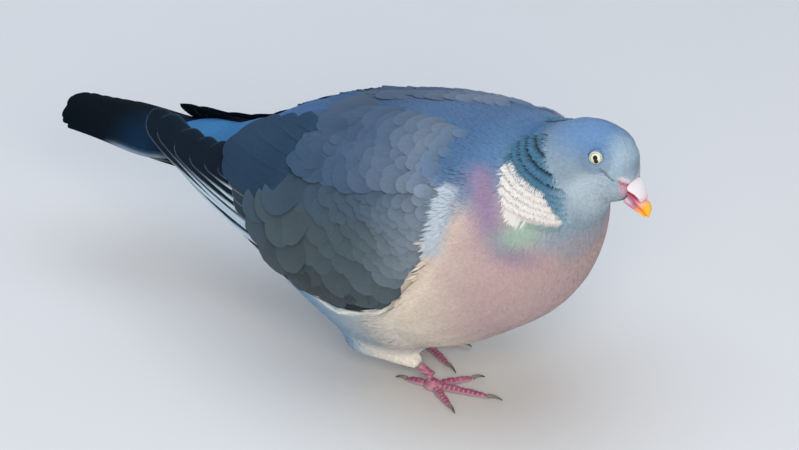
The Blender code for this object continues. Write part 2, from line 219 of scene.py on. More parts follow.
def plumage(at, wing):
    """Linear colours of the plumage at places on the bird; wing is 1 on the wings."""
    x, y, z = at[:, 0], np.abs(at[:, 1]), at[:, 2]
    waver = ripple(at, 16)
    xw = x + 3 * waver
    neck = past_neck(x, z)
    above = z - between(BACK_LINE, x)
    upper = ease(above + 2 * waver, -7, 9)
    back = upper * ease(above, 2, 20)
    head = ease(neck + 1.5 * waver, -7, 7)
    along_lore_shadow = np.clip((x - 163.5) / 5.5, 0, 1)
    lore_shadow = np.hypot(x - (163.5 + 5.5 * along_lore_shadow), z - (164.6 - 6.6 * along_lore_shadow))
    front = between(FURROW_FRONT, z)
    furrowed = ease(x, front + 2, front - 3) * ease(neck, -6, -1) * ease(z, 128, 134)
    cheek = (ease(x - 0.5 * np.maximum(150 - z, 0), 138, 156) * ease(z, 122, 138)
             * ease(z - 0.5 * (x - 150), 162, 152))
    green = np.exp(-(((x - 131) / 8.5) ** 2 + ((z - 131) / 7.5) ** 2))
    body = over(
        plain("#d8cdbf", at),
        ("#b8a0a1", ease(xw, 80, 124)),  # vinous breast
        ("#7ba7c8", ease(xw, 84, 12)),  # blue-grey belly and flank
        ("#c4ccd2", ease(x, -15, -60) * 0.6),  # vent
        ("#8192a6", upper * ease(x, 60, 95)),  # side of the shoulder
        ("#486a90", back),
        ("#1f4f76", back * ease(x, 62, 20) * 0.8),
        ("#36699c", back * ease(x, 8, -30)),  # rump
        ("#567ca3", back * ease(x, 88, 112)),  # mantle
        ("#917d9b", hump(neck, -10, 6.5) * ease(y, 22, 32) * ease(z, 108, 124) * ease(z, 160, 152)),
        ("#899eaf", head),
        ("#b3c6d4", head * cheek),
        # the crown is its own blue-grey, made bluer by painted sky light falling on the top of the head
        ("#6a8fba", ease(neck, -2, 8) * ease(z + 0.25 * (x - 150) + waver, 161, 177)),  # crown
        ("#a6bfd3", ease(x, 160, 171) * ease(z, 150, 158)),  # forehead
        # painted shadow of the crease that runs from the eye down to the cere
        ("#4d5f70", hump(lore_shadow, 0, 0.75) * ease(y, 4, 8) * 0.75),
        ("#a49fab", head * ease(z + waver, 131, 117)),  # low neck
        ("#3d6a96", hump(neck, 5, 11) * ease(z, 158, 166) * ease(y, 24, 12)),  # nape
        ("#4f7895", furrowed * ease(y, 9, 15) * ease(furrow_height(x, z), 156, 160)),
        ("#8ec3a4", green * ease(y, 22, 32) * 0.6),  # green gloss below the patch
        ("#dad8d6", white_patch(x, z) * ease(y, 20, 24)))
    on_wing = over(
        plain("#43535b", at),
        ("#3d536c", ease(z + 3 * waver, 116, 146)),
        ("#7b8895", ease(xw, 46, 88) * 0.72 * ease(z, 88, 116)),
        ("#27363c", ease(z, 108, 84) * 0.95),
        ("#2d445c", ease(x + 4 * waver, 14, -34) * 0.9),
        ("#2f475f", ease(x + 4 * waver, 50, 4) * ease(z, 114, 128) * 0.8))
    bend = ease(x, 92.4, 94.6) * ease(x, 105, 99) * ease(z, 113, 121) * ease(z, 150, 146)
    under_wing = hump(z, between(LOW_EDGE, x) + 2.2, 1.7)
    return over(
        body + (on_wing - body) * np.clip(wing, 0, 1)[:, None],
        ("#b3c0cd", bend * ease(y, 40, 44)),  # pale bend of the wing
        ("#f1ede4", ease(z, 34, 24) * ease(x + 33 * (at[:, 1] > 0), 18, 44)),  # white leg plumes
        ("#f0f2ea", under_wing * ease(x, 12, 20) * ease(x, 74, 66) * ease(y, 38, 44)))


# The skin: one closed surface under the plumage of head, neck, trunk, wings and thighs, inside them by the
# depth of the feathers. It is bare only in front of the gape, where it meets the bill.

FLESH = ("head", "neck", "trunk", "wing_left", "wing_right", "thigh_left", "thigh_right")
LIE_PATH = (  # middle of the body from the tail root to the bill root, X and Z in mm
    (-91, 89.5), (-70.5, 88), (-44.5, 89), (-15, 86.5), (14.5, 83.7), (46, 88.7), (75, 97), (98.5, 106.7),
    (116.5, 115.7), (126.7, 125.7), (133, 136.7), (139.5, 146), (146.5, 153.7), (153.5, 158.2), (160, 159.9),
    (165.7, 158.9), (169.6, 156.3), (173.5, 150.5), (177, 143))
EYE_POLE = np.array((159.5, 15.2, 169.3))
WING_FRONT = ((60, 57), (68, 61), (80, 72), (95, 82), (115, 90), (124, 95), (134, 200))  # Z and X
SKIN_VOXEL, SKIN_SWELL = 1.6, 1.0
COAT_DEPTH = 2.0
GROOVE_PASSES = 220                          # smoothing that fills the groove between thigh and belly


def cad_copy(nodes):
    """A loose copy of CAD nodes together, to be freed after use."""
    whole = bmesh.new()
    for node in nodes:
        whole.from_mesh(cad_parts[node].data)
    return whole


def cad_tree(*nodes):
    """A search tree over CAD nodes."""
    whole = cad_copy(nodes)
    made = BVHTree.FromBMesh(whole)
    whole.free()
    return made


def plain_mesh(made, name):
    """The object's mesh as its modifiers make it, put in place of its own, and the modifiers removed."""
    mesh = bpy.data.meshes.new_from_object(made.evaluated_get(bpy.context.evaluated_depsgraph_get()))
    made.modifiers.clear()
    made.data = mesh
    mesh.name = name
    return mesh


def refined(name, nodes, swell, voxel, smoothing):
    """A closed even mesh from copies of CAD nodes, swelled a little so that thin cuts between them close."""
    whole = cad_copy(nodes)
    bmesh.ops.remove_doubles(whole, verts=whole.verts, dist=1e-6)
    bmesh.ops.recalc_face_normals(whole, faces=whole.faces)
    whole.normal_update()
    for point in whole.verts:
        point.co += point.normal * swell * 0.001
    rough = bpy.data.meshes.new(name)
    whole.to_mesh(rough)
    whole.free()
    rough.shade_smooth()
    made = bpy.data.objects.new(name, rough)
    bpy.context.scene.collection.objects.link(made)
    remesh = made.modifiers.new("even", "REMESH")
    remesh.mode = "VOXEL"
    remesh.voxel_size = voxel * 0.001
    remesh.use_smooth_shade = True
    smooth = made.modifiers.new("smooth", "SMOOTH")
    smooth.factor = 0.5
    smooth.iterations = smoothing
    plain_mesh(made, name).materials.clear()
    return made


def places(mesh):
    """A mesh's points in mm."""
    flat = np.empty(len(mesh.vertices) * 3)
    mesh.vertices.foreach_get("co", flat)
    return flat.reshape(-1, 3) * 1000


def set_places(mesh, at):
    mesh.vertices.foreach_set("co", (at / 1000).ravel())
    mesh.update()


def outward(mesh):
    """A mesh's point normals."""
    flat = np.empty(len(mesh.vertices) * 3)
    mesh.vertex_normals.foreach_get("vector", flat)
    return flat.reshape(-1, 3)


def store(mesh, name, values):
    """Writes a named attribute: a number, a vector or a colour with its alpha for each point."""
    if name in mesh.attributes:
        mesh.attributes.remove(mesh.attributes[name])
    values = np.ascontiguousarray(values, dtype=np.float32)
    kinds = {1: ("FLOAT", "value"), 3: ("FLOAT_VECTOR", "vector"), 4: ("FLOAT_COLOR", "color")}
    kind, key = kinds[values[0].size]
    mesh.attributes.new(name, kind, "POINT").data.foreach_set(key, values.ravel())


def store_colour(mesh, name, colour):
    """Writes a named colour attribute from linear colours for the points."""
    store(mesh, name, np.hstack([np.clip(colour, 0, 1), np.ones((len(colour), 1))]))


def fetch(mesh, name):
    """Reads a named attribute, a number or a vector for each point."""
    source = mesh.attributes[name]
    key, width = ("value", 1) if source.data_type == "FLOAT" else ("vector", 3)
    flat = np.empty(len(source.data) * width, dtype=np.float32)
    source.data.foreach_get(key, flat)
    return flat.astype(float).reshape((-1, 3) if width == 3 else -1)


def add_maps(mesh, maps):
    """Adds UV maps, each given by name with a place for every point."""
    corners = np.empty(len(mesh.loops), dtype=np.int32)
    mesh.loops.foreach_get("vertex_index", corners)
    for title, values in maps.items():
        mesh.uv_layers.new(name=title).data.foreach_set("uv", values[corners].astype(np.float32).ravel())


def lie_of_coat(at):
    """The direction, from bill to tail, in which feathers lie over the body."""
    path = np.array(LIE_PATH)
    middles = (path[1:] + path[:-1]) / 2
    steps = path[:-1] - path[1:]
    steps = steps / np.linalg.norm(steps, axis=1)[:, None]
    apart = at[:, None, (0, 2)] - middles[None]
    weight = 1 / ((apart ** 2).sum(2) + 30) ** 2
    flow = (weight[:, :, None] * steps[None]).sum(1) / weight.sum(1)[:, None]
    flow = np.stack([flow[:, 0], np.zeros(len(at)), flow[:, 1]], 1)
    return flow / np.linalg.norm(flow, axis=1)[:, None]


def eye_distance(at):
    mirrored = np.stack([at[:, 0], np.abs(at[:, 1]), at[:, 2]], 1)
    return np.linalg.norm(mirrored - EYE_POLE, axis=1)


def bare_face(at):
    """1 on the bare skin between gape and bill."""
    x, y, z = at.T
    edge = 169.9 + (156 - z) * 0.13
    top = z + 0.42 * (x - 170.5) + 0.45 * np.maximum(7 - np.abs(y), 0)
    return ease(x, edge, edge + 0.8) * ease(top, 160.3, 159.5) * ease(z, 140.5, 142.5)


def below_cere(at):
    """Height over the line along which the cere's lower edge runs, in mm."""
    return at[:, 2] + 1.07 * (at[:, 0] - 170.5) - 157.5


skin = refined("skin", FLESH, SKIN_SWELL, SKIN_VOXEL, 3)
at = places(skin.data)
x, y, z = at.T.copy()
far = {}
for group, nodes in (("wing", FLESH[3:5]), ("thigh", FLESH[5:]), ("rest", FLESH[:3])):
    seen = cad_tree(*nodes)
    far[group] = np.array([seen.find_nearest(Vector(p / 1000))[3] for p in at]) * 1000
wing_share = ease(far["rest"] - far["wing"], -0.8, 0.8) * ease(between(WING_FRONT, z) - x, 1, 4)
thigh_share = ease(np.minimum(far["rest"], far["wing"]) - far["thigh"], -0.8, 0.8)
depth = 1.0 + COAT_DEPTH * (1 - 0.45 * ease(past_neck(x, z), -5, 14))
depth = depth - 0.75 * ease(x, 158, 168) * ease(z, 175, 165)
depth = depth - 0.9 * ease(thigh_share, 0, 1)
depth = depth - 1.4 * ease(eye_distance(at), 9.5, 5)
depth = depth + (0.85 - depth) * bare_face(at)
at = at - outward(skin.data) * depth[:, None]
at[:, 0] -= 1.7 * ease(at[:, 0], 168, 174) * ease(at[:, 2], 169, 160) * ease(at[:, 2], 150, 155)
groove = ease(at[:, 2], 60, 50) * ease(at[:, 2], 20, 25) * ease(at[:, 0], 84, 72) * ease(at[:, 0], -14, -4)
pairs = np.empty(len(skin.data.edges) * 2, dtype=int)
skin.data.edges.foreach_get("vertices", pairs)
one, other = pairs.reshape(-1, 2).T
count = np.bincount(pairs, minlength=len(at))[:, None]
for _ in range(GROOVE_PASSES):
    around = np.stack([np.bincount(one, at[other, k], len(at)) + np.bincount(other, at[one, k], len(at))
                       for k in range(3)], 1) / count
    at = at + (around - at) * 0.8 * groove[:, None]
at[:, 1] *= 1 - 0.12 * ease(at[:, 0], -60, -65) * ease(np.abs(at[:, 1]), 36, 40)
set_places(skin.data, at)
bpy.context.view_layer.objects.active = skin
skin.select_set(True)
bpy.ops.object.mode_set(mode="EDIT")
bpy.ops.mesh.select_all(action="SELECT")
bpy.ops.uv.smart_project(angle_limit=math.radians(66), island_margin=0.002)
bpy.ops.object.mode_set(mode="OBJECT")
skin.select_set(False)
skin.data.uv_layers[0].name = "OFBake"
at = places(skin.data)
slit = below_cere(at)
face = over(plain("#c9a6b8", at), ("#e2dde2", ease(slit, 0.0, 0.9)), ("#ab4668", hump(slit, 0, 0.9)))
colour = plumage(at, wing_share)
store_colour(skin.data, "plumage", colour + (face - colour) * bare_face(at)[:, None])
store(skin.data, "skin_normal", outward(skin.data))
store(skin.data, "wing", wing_share)
store(skin.data, "thigh", thigh_share)

SCALED = {"operation": "SCALE"}


def grained(name, attribute, kind, grain, light, rise, depth, finish):
    """A material over a painted colour, its light and its bump given by a fine grain of that kind."""
    material, tree = new_material(name)
    own = put(tree, "Attribute", attribute_name=attribute)
    grain = put(tree, kind, {"Vector": put(tree, "TexCoord").outputs["Object"], **grain})
    tone = put(tree, "MapRange", {"Value": grain, **light})
    shown = put(tree, "VectorMath", {0: own, "Scale": tone}, **SCALED)
    bump = put(tree, "Bump", {"Strength": rise, "Distance": depth, "Height": grain})
    finish_material(tree, {"Base Color": shown, "Normal": bump, **finish})
    return material


# Down and bare skin: matt, with the fine grain of down at about 0.8 mm.
down = grained("down over bird skin", "plumage", "TexNoise", {"Scale": 1200.0, "Detail": 3.0},
               {3: 0.55, 4: 1.0}, 0.4, 0.0003, {"Roughness": 0.9, "Specular IOR Level": 0.2})
skin.data.materials.append(down)
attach(skin, "root")
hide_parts(*FLESH)

# The plumage over the skin: each feather is a thin curved vane with its root in the skin, laid along the body
# from bill to tail over the next like a roof tile. Small ones are scattered; large ones stand in rows.

BAKE_PATCH = 0.003
SKIN_GAP = 0.0001                            # the least height of a vane over the skin, m
CROWDING = 2.2                               # roots tried for each square as wide as the spacing
TIMES = {"operation": "MULTIPLY"}
BLADES = []


def grid(rows, across, first=0):
    """The faces between rows of points, across of them to a row."""
    corners = [first + i * across + j for i in range(rows - 1) for j in range(across - 1)]
    return [(a, a + 1, a + across + 1, a + across) for a in corners]


def merge_slivers(mesh, dist, doubles):
    """Dissolves edges shorter than dist and, where asked, joins points closer than that."""
    whole = bmesh.new()
    whole.from_mesh(mesh)
    bmesh.ops.dissolve_degenerate(whole, edges=whole.edges, dist=dist)
    if doubles:
        bmesh.ops.remove_doubles(whole, verts=whole.verts, dist=dist)
    whole.to_mesh(mesh)
    whole.free()


def vane_blade(name, rows, columns, outline, camber):
    """A flat unit feather from root (v 0) to tip (v 1), from its half width at v and its middle's camber."""
    ends = [i / rows if rows < 5 else math.sin(0.5 * math.pi * i / rows) for i in range(rows + 1)]
    u, v = [a.ravel() for a in np.meshgrid(np.linspace(-1, 1, columns + 1), ends)]
    side = u * np.array([outline(at) for at in v])
    points = np.stack([0.5 * side, v, 0 * v], 1)
    made = new_object(name, points, grid(rows + 1, columns + 1))
    store(made.data, "vane", points * (2, 1, 0))
    store(made.data, "rise", v + camber * (1 - u * u))
    store(made.data, "side", side)
    merge_slivers(made.data, 1e-4, True)
    made.hide_render = True
    BLADES.append(made)
    return made


def coat_tree(scattered):
    """Geometry Nodes that set feathers on the skin, on scattered roots or on the object's own points."""
    title = "scattered feathers" if scattered else "feathers in rows"
    tree = bpy.data.node_groups.new(title, "GeometryNodeTree")
    for title, kind in (
            ("Roots", "Geometry"), ("Skin", "Object"), ("Blade", "Object"), ("Finish", "Material"),
            ("Spacing", "Float"), ("Width", "Float"), ("Waver", "Float"), ("Roll", "Float"), ("Seed", "Int")):
        tree.interface.new_socket(name=title, in_out="INPUT", socket_type="NodeSocket" + kind)
    tree.interface.new_socket(name="Feathers", in_out="OUTPUT", socket_type="NodeSocketGeometry")
    given = put(tree, "NodeGroupInput").outputs
    own = {}
    for kind, names in (("FLOAT", ("share", "length", "lift", "rise", "side", "roll")),
                        ("FLOAT_VECTOR", ("lie", "size", "root_normal", "OFBake", "skin_normal"))):
        for name in names:
            own[name] = put(tree, "GeometryNodeInputNamedAttribute", {"Name": name}, data_type=kind)
    drawn = [put(tree, "FunctionNodeRandomValue", {"Min": low, "Max": high, "Seed": i + 1}, data_type="FLOAT")
             for i, (low, high) in enumerate(((0.78, 1.18), (0.8, 1.2)) + ((-1.0, 1.0),) * 5)]
    skin_mesh = put(tree, "GeometryNodeObjectInfo", {"Object": given["Skin"]}).outputs["Geometry"]
    blade = put(tree, "GeometryNodeObjectInfo", {"Object": given["Blade"]}).outputs["Geometry"]
    place = put(tree, "GeometryNodeInputPosition")

    roots = given["Roots"]
    if scattered:
        area = put(tree, "Math", {0: given["Spacing"], 1: given["Spacing"]}, **TIMES)
        crowd = put(tree, "Math", {0: CROWDING, 1: area}, operation="DIVIDE")
        roots = put(tree, "GeometryNodeDistributePointsOnFaces", {
            "Mesh": roots, "Distance Min": given["Spacing"], "Density Max": crowd,
            "Density Factor": own["share"], "Seed": given["Seed"]}, distribute_method="POISSON")
    on_skin = {name: put(tree, "GeometryNodeSampleNearestSurface", {
        "Mesh": skin_mesh, "Value": own[name], "Sample Position": place}, data_type="FLOAT_VECTOR")
        for name in ("OFBake", "skin_normal")}
    length = put(tree, "Math", {0: own["length"], 1: drawn[0]}, **TIMES)
    width = put(tree, "Math", {0: length, 1: given["Width"]}, **TIMES)
    width = put(tree, "Math", {0: width, 1: drawn[1]}, **TIMES)
    roll = put(tree, "Math", {0: given["Roll"], 1: drawn[2]}, **TIMES)
    size = put(tree, "CombineXYZ", {0: width, 1: length, 2: 1.0})
    for name, kind, value in (
            ("root_at", "FLOAT_VECTOR", place), ("root_uv", "FLOAT_VECTOR", on_skin["OFBake"]),
            ("root_normal", "FLOAT_VECTOR", on_skin["skin_normal"]), ("size", "FLOAT_VECTOR", size),
            ("roll", "FLOAT", roll), ("tone", "FLOAT", drawn[3])):
        roots = put(tree, "GeometryNodeStoreNamedAttribute", {
            "Geometry": roots, "Name": name, "Value": value}, data_type=kind, domain="POINT")
    sway = put(tree, "CombineXYZ", {0: drawn[4], 1: drawn[5], 2: drawn[6]})
    sway = put(tree, "VectorMath", {0: sway, "Scale": given["Waver"]}, **SCALED)
    lie = put(tree, "VectorMath", {0: own["lie"], 1: sway}, operation="ADD")
    upright = put(tree, "FunctionNodeAlignRotationToVector", {"Vector": own["root_normal"]},
                  axis="Z", pivot_axis="AUTO")
    turned = put(tree, "FunctionNodeAlignRotationToVector", {"Rotation": upright, "Vector": lie},
                 axis="Y", pivot_axis="Z")
    set_out = put(tree, "GeometryNodeInstanceOnPoints", {
        "Points": roots, "Instance": blade, "Rotation": turned, "Scale": own["size"]})
    real = put(tree, "GeometryNodeRealizeInstances", {"Geometry": set_out})
    near = put(tree, "GeometryNodeProximity", {
        0: skin_mesh, "Sample Position": place}, target_element="FACES")
    across = put(tree, "SeparateXYZ", {0: own["size"]})
    climb = put(tree, "Math", {0: own["lift"], 1: own["rise"]}, **TIMES)
    tilt = put(tree, "Math", {0: own["roll"], 1: own["side"]}, **TIMES)
    tilt = put(tree, "Math", {0: tilt, 1: across}, **TIMES)
    height = put(tree, "Math", {0: climb, 1: tilt}, operation="ADD")
    height = put(tree, "Math", {0: height, 1: SKIN_GAP}, operation="ADD")
    raised = put(tree, "VectorMath", {0: on_skin["skin_normal"], "Scale": height}, **SCALED)
    at_last = put(tree, "VectorMath", {0: near, 1: raised}, operation="ADD")
    laid = put(tree, "GeometryNodeSetPosition", {"Geometry": real, "Position": at_last})
    smooth = put(tree, "GeometryNodeSetShadeSmooth", {0: laid})
    done = put(tree, "GeometryNodeSetMaterial", {"Geometry": smooth, "Material": given["Finish"]})
    put(tree, "NodeGroupOutput", {"Feathers": done})
    return tree


SCATTER = coat_tree(True)
IN_ROWS = coat_tree(False)


def grow(name, tree, roots, blade, finish, numbers, colour_of=None):
    """Grows one coat piece: runs the tree over the roots, makes it a plain mesh, colours it and maps it."""
    held = bpy.data.objects.new(name, roots)
    bpy.context.scene.collection.objects.link(held)
    modifier = held.modifiers.new("feathers", "NODES")
    modifier.node_group = tree
    given = {"Skin": skin, "Blade": blade, "Finish": finish, **numbers}
    for item in tree.interface.items_tree:
        if item.name in given:
            modifier[item.identifier] = given[item.name]
    mesh = plain_mesh(held, name)
    root_at, root_uv, vane, size, tone, wing = [
        fetch(mesh, title) for title in ("root_at", "root_uv", "vane", "size", "tone", "wing")]
    root_at = root_at * 1000
    colour = plumage(root_at, wing) if colour_of is None else colour_of(root_at, vane, wing)
    store_colour(mesh, "plumage", colour * (1 + numbers.get("Tone", 0.07) * tone)[:, None])
    add_maps(mesh, {"OFBake": root_uv[:, :2] + (vane[:, :2] * (0.5, 1) - (0, 0.5)) * BAKE_PATCH,
                    "vane_mm": vane[:, :2] * size[:, :2] * (500, 1000)})
    for title in ("root_at", "root_uv", "root_normal", "vane", "size", "tone", "wing", "rise", "side", "roll",
                  "lift", "length", "lie", "skin_normal", "share", "thigh"):
        if title in mesh.attributes:
            mesh.attributes.remove(mesh.attributes[title])
    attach(held, "root")


def scatter(name, share, length, lift, blade, finish, numbers, lie=None):
    """Scatters feathers over the skin where share is above 0, with that length and lift in mm."""
    roots = skin.data.copy()
    store(roots, "share", share)
    store(roots, "length", length * 0.001)
    store(roots, "lift", lift * 0.001)
    store(roots, "lie", lie_of_coat(places(roots)) if lie is None else lie)
    grow(name, SCATTER, roots, blade, finish, numbers)


# Feather barbs: soft and matt, a little sheen where the light grazes them, with fine ribs 0.6 mm apart that
# slant from the shaft. Real barbs are about 0.3 mm apart; these are drawn coarser so that they show.

BARB_PITCH, BARB_SLANT = 0.6, 0.9


def feather_material(name, ribs, sheen, gloss, shaft_tone):
    material, tree = new_material(name)
    own = put(tree, "Attribute", attribute_name="plumage")
    across = put(tree, "SeparateXYZ", {0: put(tree, "UVMap", uv_map="vane_mm")})
    on_object = put(tree, "TexCoord").outputs["Object"]
    grain = put(tree, "TexNoise", {"Vector": on_object, "Scale": 700.0, "Detail": 2.0})
    out = put(tree, "Math", {0: across}, operation="ABSOLUTE")
    lean = put(tree, "Math", {0: out, 1: BARB_SLANT}, **TIMES)
    slant = put(tree, "Math", {0: across.outputs[1], 1: lean}, operation="SUBTRACT")
    rough = put(tree, "Math", {0: grain, 1: 0.5}, **TIMES)
    ragged = put(tree, "Math", {0: slant, 1: rough}, operation="ADD")
    turn = put(tree, "Math", {0: ragged, 1: 2 * math.pi / BARB_PITCH}, **TIMES)
    wave = put(tree, "Math", {0: turn}, operation="SINE")
    shaft = put(tree, "MapRange", {"Value": out, 1: 0.12, 2: 0.3, 3: shaft_tone, 4: 1.0})
    lit = put(tree, "MapRange", {"Value": wave, 1: -1.0, 2: 1.0, 3: 1.0 - ribs, 4: 1.0 + ribs})
    patchy = put(tree, "MapRange", {"Value": grain, 1: 0.3, 2: 0.7, 3: 0.94, 4: 1.06})
    factor = put(tree, "Math", {0: lit, 1: patchy}, **TIMES)
    factor = put(tree, "Math", {0: factor, 1: shaft}, **TIMES)
    shown = put(tree, "VectorMath", {0: own, "Scale": factor}, **SCALED)
    bump = put(tree, "Bump", {"Strength": 0.35, "Distance": 0.00012, "Height": wave})
    finish_material(tree, {"Base Color": shown, "Roughness": 0.72, "Normal": bump,
                           "Specular IOR Level": gloss, "Sheen Weight": sheen, "Sheen Roughness": 0.5})
    return material


soft_barbs = feather_material("soft contour feather barbs", 0.04, 0.10, 0.2, 0.95)
TUFT = vane_blade("tuft", 3, 1, lambda v: 1.0 - 0.15 * v if v < 0.99 else 0.0, 0.0)

# Head feathers: the shortest and closest on the bird, soft tips over down, 2 mm long at the bill and round
# the eye and 4 mm at the nape. They leave the lids and the bare skin at the gape free.

at = places(skin.data)
eye_far = eye_distance(at)
on_head = ease(past_neck(at[:, 0], at[:, 2]), 9, 12) * (eye_far > 3.3) * (1 - bare_face(at))
head_length = 3.9 - 1.9 * ease(at[:, 0], 146, 168) - 0.7 * ease(eye_far, 12, 5)
head_lift = 0.55 - 0.25 * ease(at[:, 0], 150, 168)
scatter("head_feathers", on_head, head_length, head_lift, TUFT, soft_barbs,
        {"Spacing": 0.00044, "Width": 0.2, "Waver": 0.10, "Roll": 0.08, "Tone": 0.04, "Seed": 3})

# Neck feathers: on each side of the neck they stand in oblique rows like furrows, dark teal round a white
# patch. Each row's split tips stand clear of the next and cast a shadow, and the roots under them are painted
# dark as painted shadow, so a dark line shows between the rows.

SKIN_TREE = BVHTree.FromPolygons([v.co.copy() for v in skin.data.vertices],
                                 [tuple(p.vertices) for p in skin.data.polygons])
REACH = 0.2                                  # how far out a ray towards the bird starts, m
FURROW_PITCH, UNDER_STEP = 2.9, 0.6
FURROW_LIE = (-0.30, 0.0, -0.95)


def root_mesh(at, lie, length, lift, wing=0.0):
    """A mesh of loose root points for feathers in rows."""
    mesh = bpy.data.meshes.new("roots")
    mesh.from_pydata([tuple(p / 1000) for p in at], [], [])
    ones = np.ones(len(at))
    store(mesh, "lie", lie)
    store(mesh, "length", ones * length * 0.001)
    store(mesh, "lift", ones * lift * 0.001)
    store(mesh, "wing", ones * wing)
    return mesh


def side_points(xz, side):
    """The skin's outermost points on one side at these X and Z, in mm; not a number where there are none."""
    found = []
    for x, z in xz:
        hit = SKIN_TREE.ray_cast(Vector((x / 1000, side * REACH, z / 1000)), Vector((0, -side, 0)))[0]
        found.append(tuple(hit * 1000) if hit is not None else (math.nan,) * 3)
    return np.array(found).reshape(-1, 3)


def furrow_roots():
    """Places, lengths and lifts of the furrow rows' roots on both sides, the middle rows longest."""
    rng = np.random.default_rng(11)
    at, length, lift = [], [], []
    for row in np.arange(147.9, 178.0, FURROW_PITCH):
        for under in range(3):
            f = row + UNDER_STEP * under
            x = np.arange(113.5, 151.0, 0.42) + rng.uniform(-0.2, 0.2)
            z = f - furrow_slope(f) * (x - NECK_MIDDLE)
            back = np.maximum(116.0 + (156.0 - f) * 0.62, 115.0)
            keep = (x < between(FURROW_FRONT, z)) & (x > back) & (z < 171)
            x, z = x[keep], z[keep] + rng.normal(0, 0.07, keep.sum())
            for side in (-1, 1):
                found = side_points(zip(x, z), side)
                good = ~np.isnan(found[:, 0]) & (np.abs(found[:, 1]) > 8)
                at.append(found[good])
                inward = ease(between(FURROW_FRONT, z[good]) - x[good], 0.0, 4.0)
                length.append(3.5 + 0.6 * under + 0.9 * inward + rng.normal(0, 0.08, good.sum()))
                lift.append(0.6 + 1.0 * inward)
    return np.vstack(at), np.hstack(length), np.hstack(lift)


def furrow_colour(root_at, vane, wing):
    """Teal or white at the tip of each neck feather, and painted shadow at its root under the row above."""
    x, z = root_at[:, 0], root_at[:, 2]
    white = np.maximum(white_patch(x - 1.0, z - 3.2), white_patch(x + 3.5, z - 3.2))
    inward = ease(between(FURROW_FRONT, z) - x, 0.0, 4.0)
    teal = over(plain("#426e8b", root_at), ("#5d8195", ease(z, 146, 134)),
                ("#7d9fb4", ease(x, 136, 147) * 0.6), ("#93a9b8", 1 - inward))
    # painted shadow: the root is near black under the teal rows and grey-brown in the white patch
    shaded_root = over(teal, ("#0f1d28", inward), ("#87807d", white))
    # painted highlight: the tips of the teal rows are lighter along each ridge
    rim = 0.15 * ease(vane[:, 1], 0.7, 0.95) * (1 - 0.9 * white)
    light = over(teal, ("#dedcda", white)) * (1 + rim)[:, None]
    return shaded_root + (light - shaded_root) * ease(vane[:, 1] + 0.03 * white, 0.38, 0.62)[:, None]


STRAND = vane_blade("strand", 4, 2, lambda v: 1.0 - 0.8 * v ** 2, 0.12)
furrow_at, furrow_length, furrow_lift = furrow_roots()
roots = root_mesh(furrow_at, np.tile(FURROW_LIE, (len(furrow_at), 1)), furrow_length, furrow_lift)
grow("neck_furrows", IN_ROWS, roots, STRAND, soft_barbs,
     {"Width": 0.26, "Waver": 0.03, "Roll": 0.05, "Tone": 0.05, "Seed": 5}, furrow_colour)

# Body feathers: soft loose tips over down, 6.5 mm long on the neck and up to 11 mm on rump and belly. They
# cover breast, belly and back, and stop at the furrowed rows, the wings and the thighs.


def wing_front_at(z):
    """X of the wing's front edge at this height."""
    return np.interp(z, [p[0] for p in WING_FRONT], [min(p[1], 96) for p in WING_FRONT])


at = places(skin.data)
x, y, z = at[:, 0], np.abs(at[:, 1]), at[:, 2]
neck, front, row = past_neck(x, z), wing_front_at(z), furrow_height(x, z)
wing_share, thigh_share = fetch(skin.data, "wing"), fetch(skin.data, "thigh")
furrows = ((x < between(FURROW_FRONT, z) - 1.5) & (neck > -1) & (y > 11) & (row > 138.5)
           & (x > 117.5 + (PATCH_TOP - row) * PATCH_SLANT))
wing_lip = (x < front + 4.0 * ease(z, 122, 110)) & (x > front - 8) & (y > 45) & (z > 73) & (z < 122)
open_body = ((1 - wing_lip) * (1 - ease(neck, 9, 11.5)) * (1 - furrows)
             * ((wing_share < 0.6) | (x > 90.5)) * (thigh_share < 0.5))
over_flank = z > between(BACK_LINE, x)
body_length = 6.5 + 2.2 * ease(neck, -8, -40) + 2.5 * ease(x, 20, -60)
body_lift = 0.55 + 2.0 * ease(front + 14 - x, 0, 8) * ease(x - front, -6, 2) * (y > 35)
for name, region, seed in (
        ("breast_feathers", ~over_flank & (x > 62), 21), ("belly_feathers", ~over_flank & (x <= 62), 22),
        ("back_feathers", over_flank, 23)):
    scatter(name, open_body * region, body_length, body_lift, TUFT, soft_barbs,
            {"Spacing": 0.00084, "Width": 0.17, "Waver": 0.06, "Roll": 0.02, "Tone": 0.03, "Seed": seed})

# Leg feathers: white plumes 5 mm long that hang down over the thigh and the shank's top, looser than the rest
# and more ruffled, and end over the bare foot.

leg_lie = np.tile((-0.15, 0.0, -1.0), (len(at), 1))
scatter("leg_feathers", (thigh_share >= 0.5) * 1.0, 5.0 + 0 * x, 1.0 + 0 * x, TUFT, soft_barbs,
        {"Spacing": 0.0006, "Width": 0.16, "Waver": 0.2, "Roll": 0.3, "Seed": 31}, leg_lie)

# Wing coverts and scapulars: broad soft-edged feathers. The coverts stand in arcs under the forearm, small at
# the bend of the wing and up to 27 mm long behind; the scapulars hang over the wing's upper edge.

FAN = (62.0, 170.0)                          # where the lies of all coverts of one wing meet, X and Z
COVERT_TOP = ((-20, 115), (32, 133), (92, 147))
COVERT_LIMIT = ((58, 14), (66, 0), (74, -14), (82, -24), (90, -29), (106, -28), (120, -26))
ROOF_LEAN = math.radians(35)
SIDES = (("right", -1), ("left", 1))
WING_TREES = {side: cad_tree("wing_" + side_name) for side_name, side in SIDES}


def leaning(side, lean):
    """The outward and upward directions of a plane beside the bird that leans over its back by that angle."""
    return (np.array((0, side * math.cos(lean), math.sin(lean))),
            np.array((0, -side * math.sin(lean), math.cos(lean))))


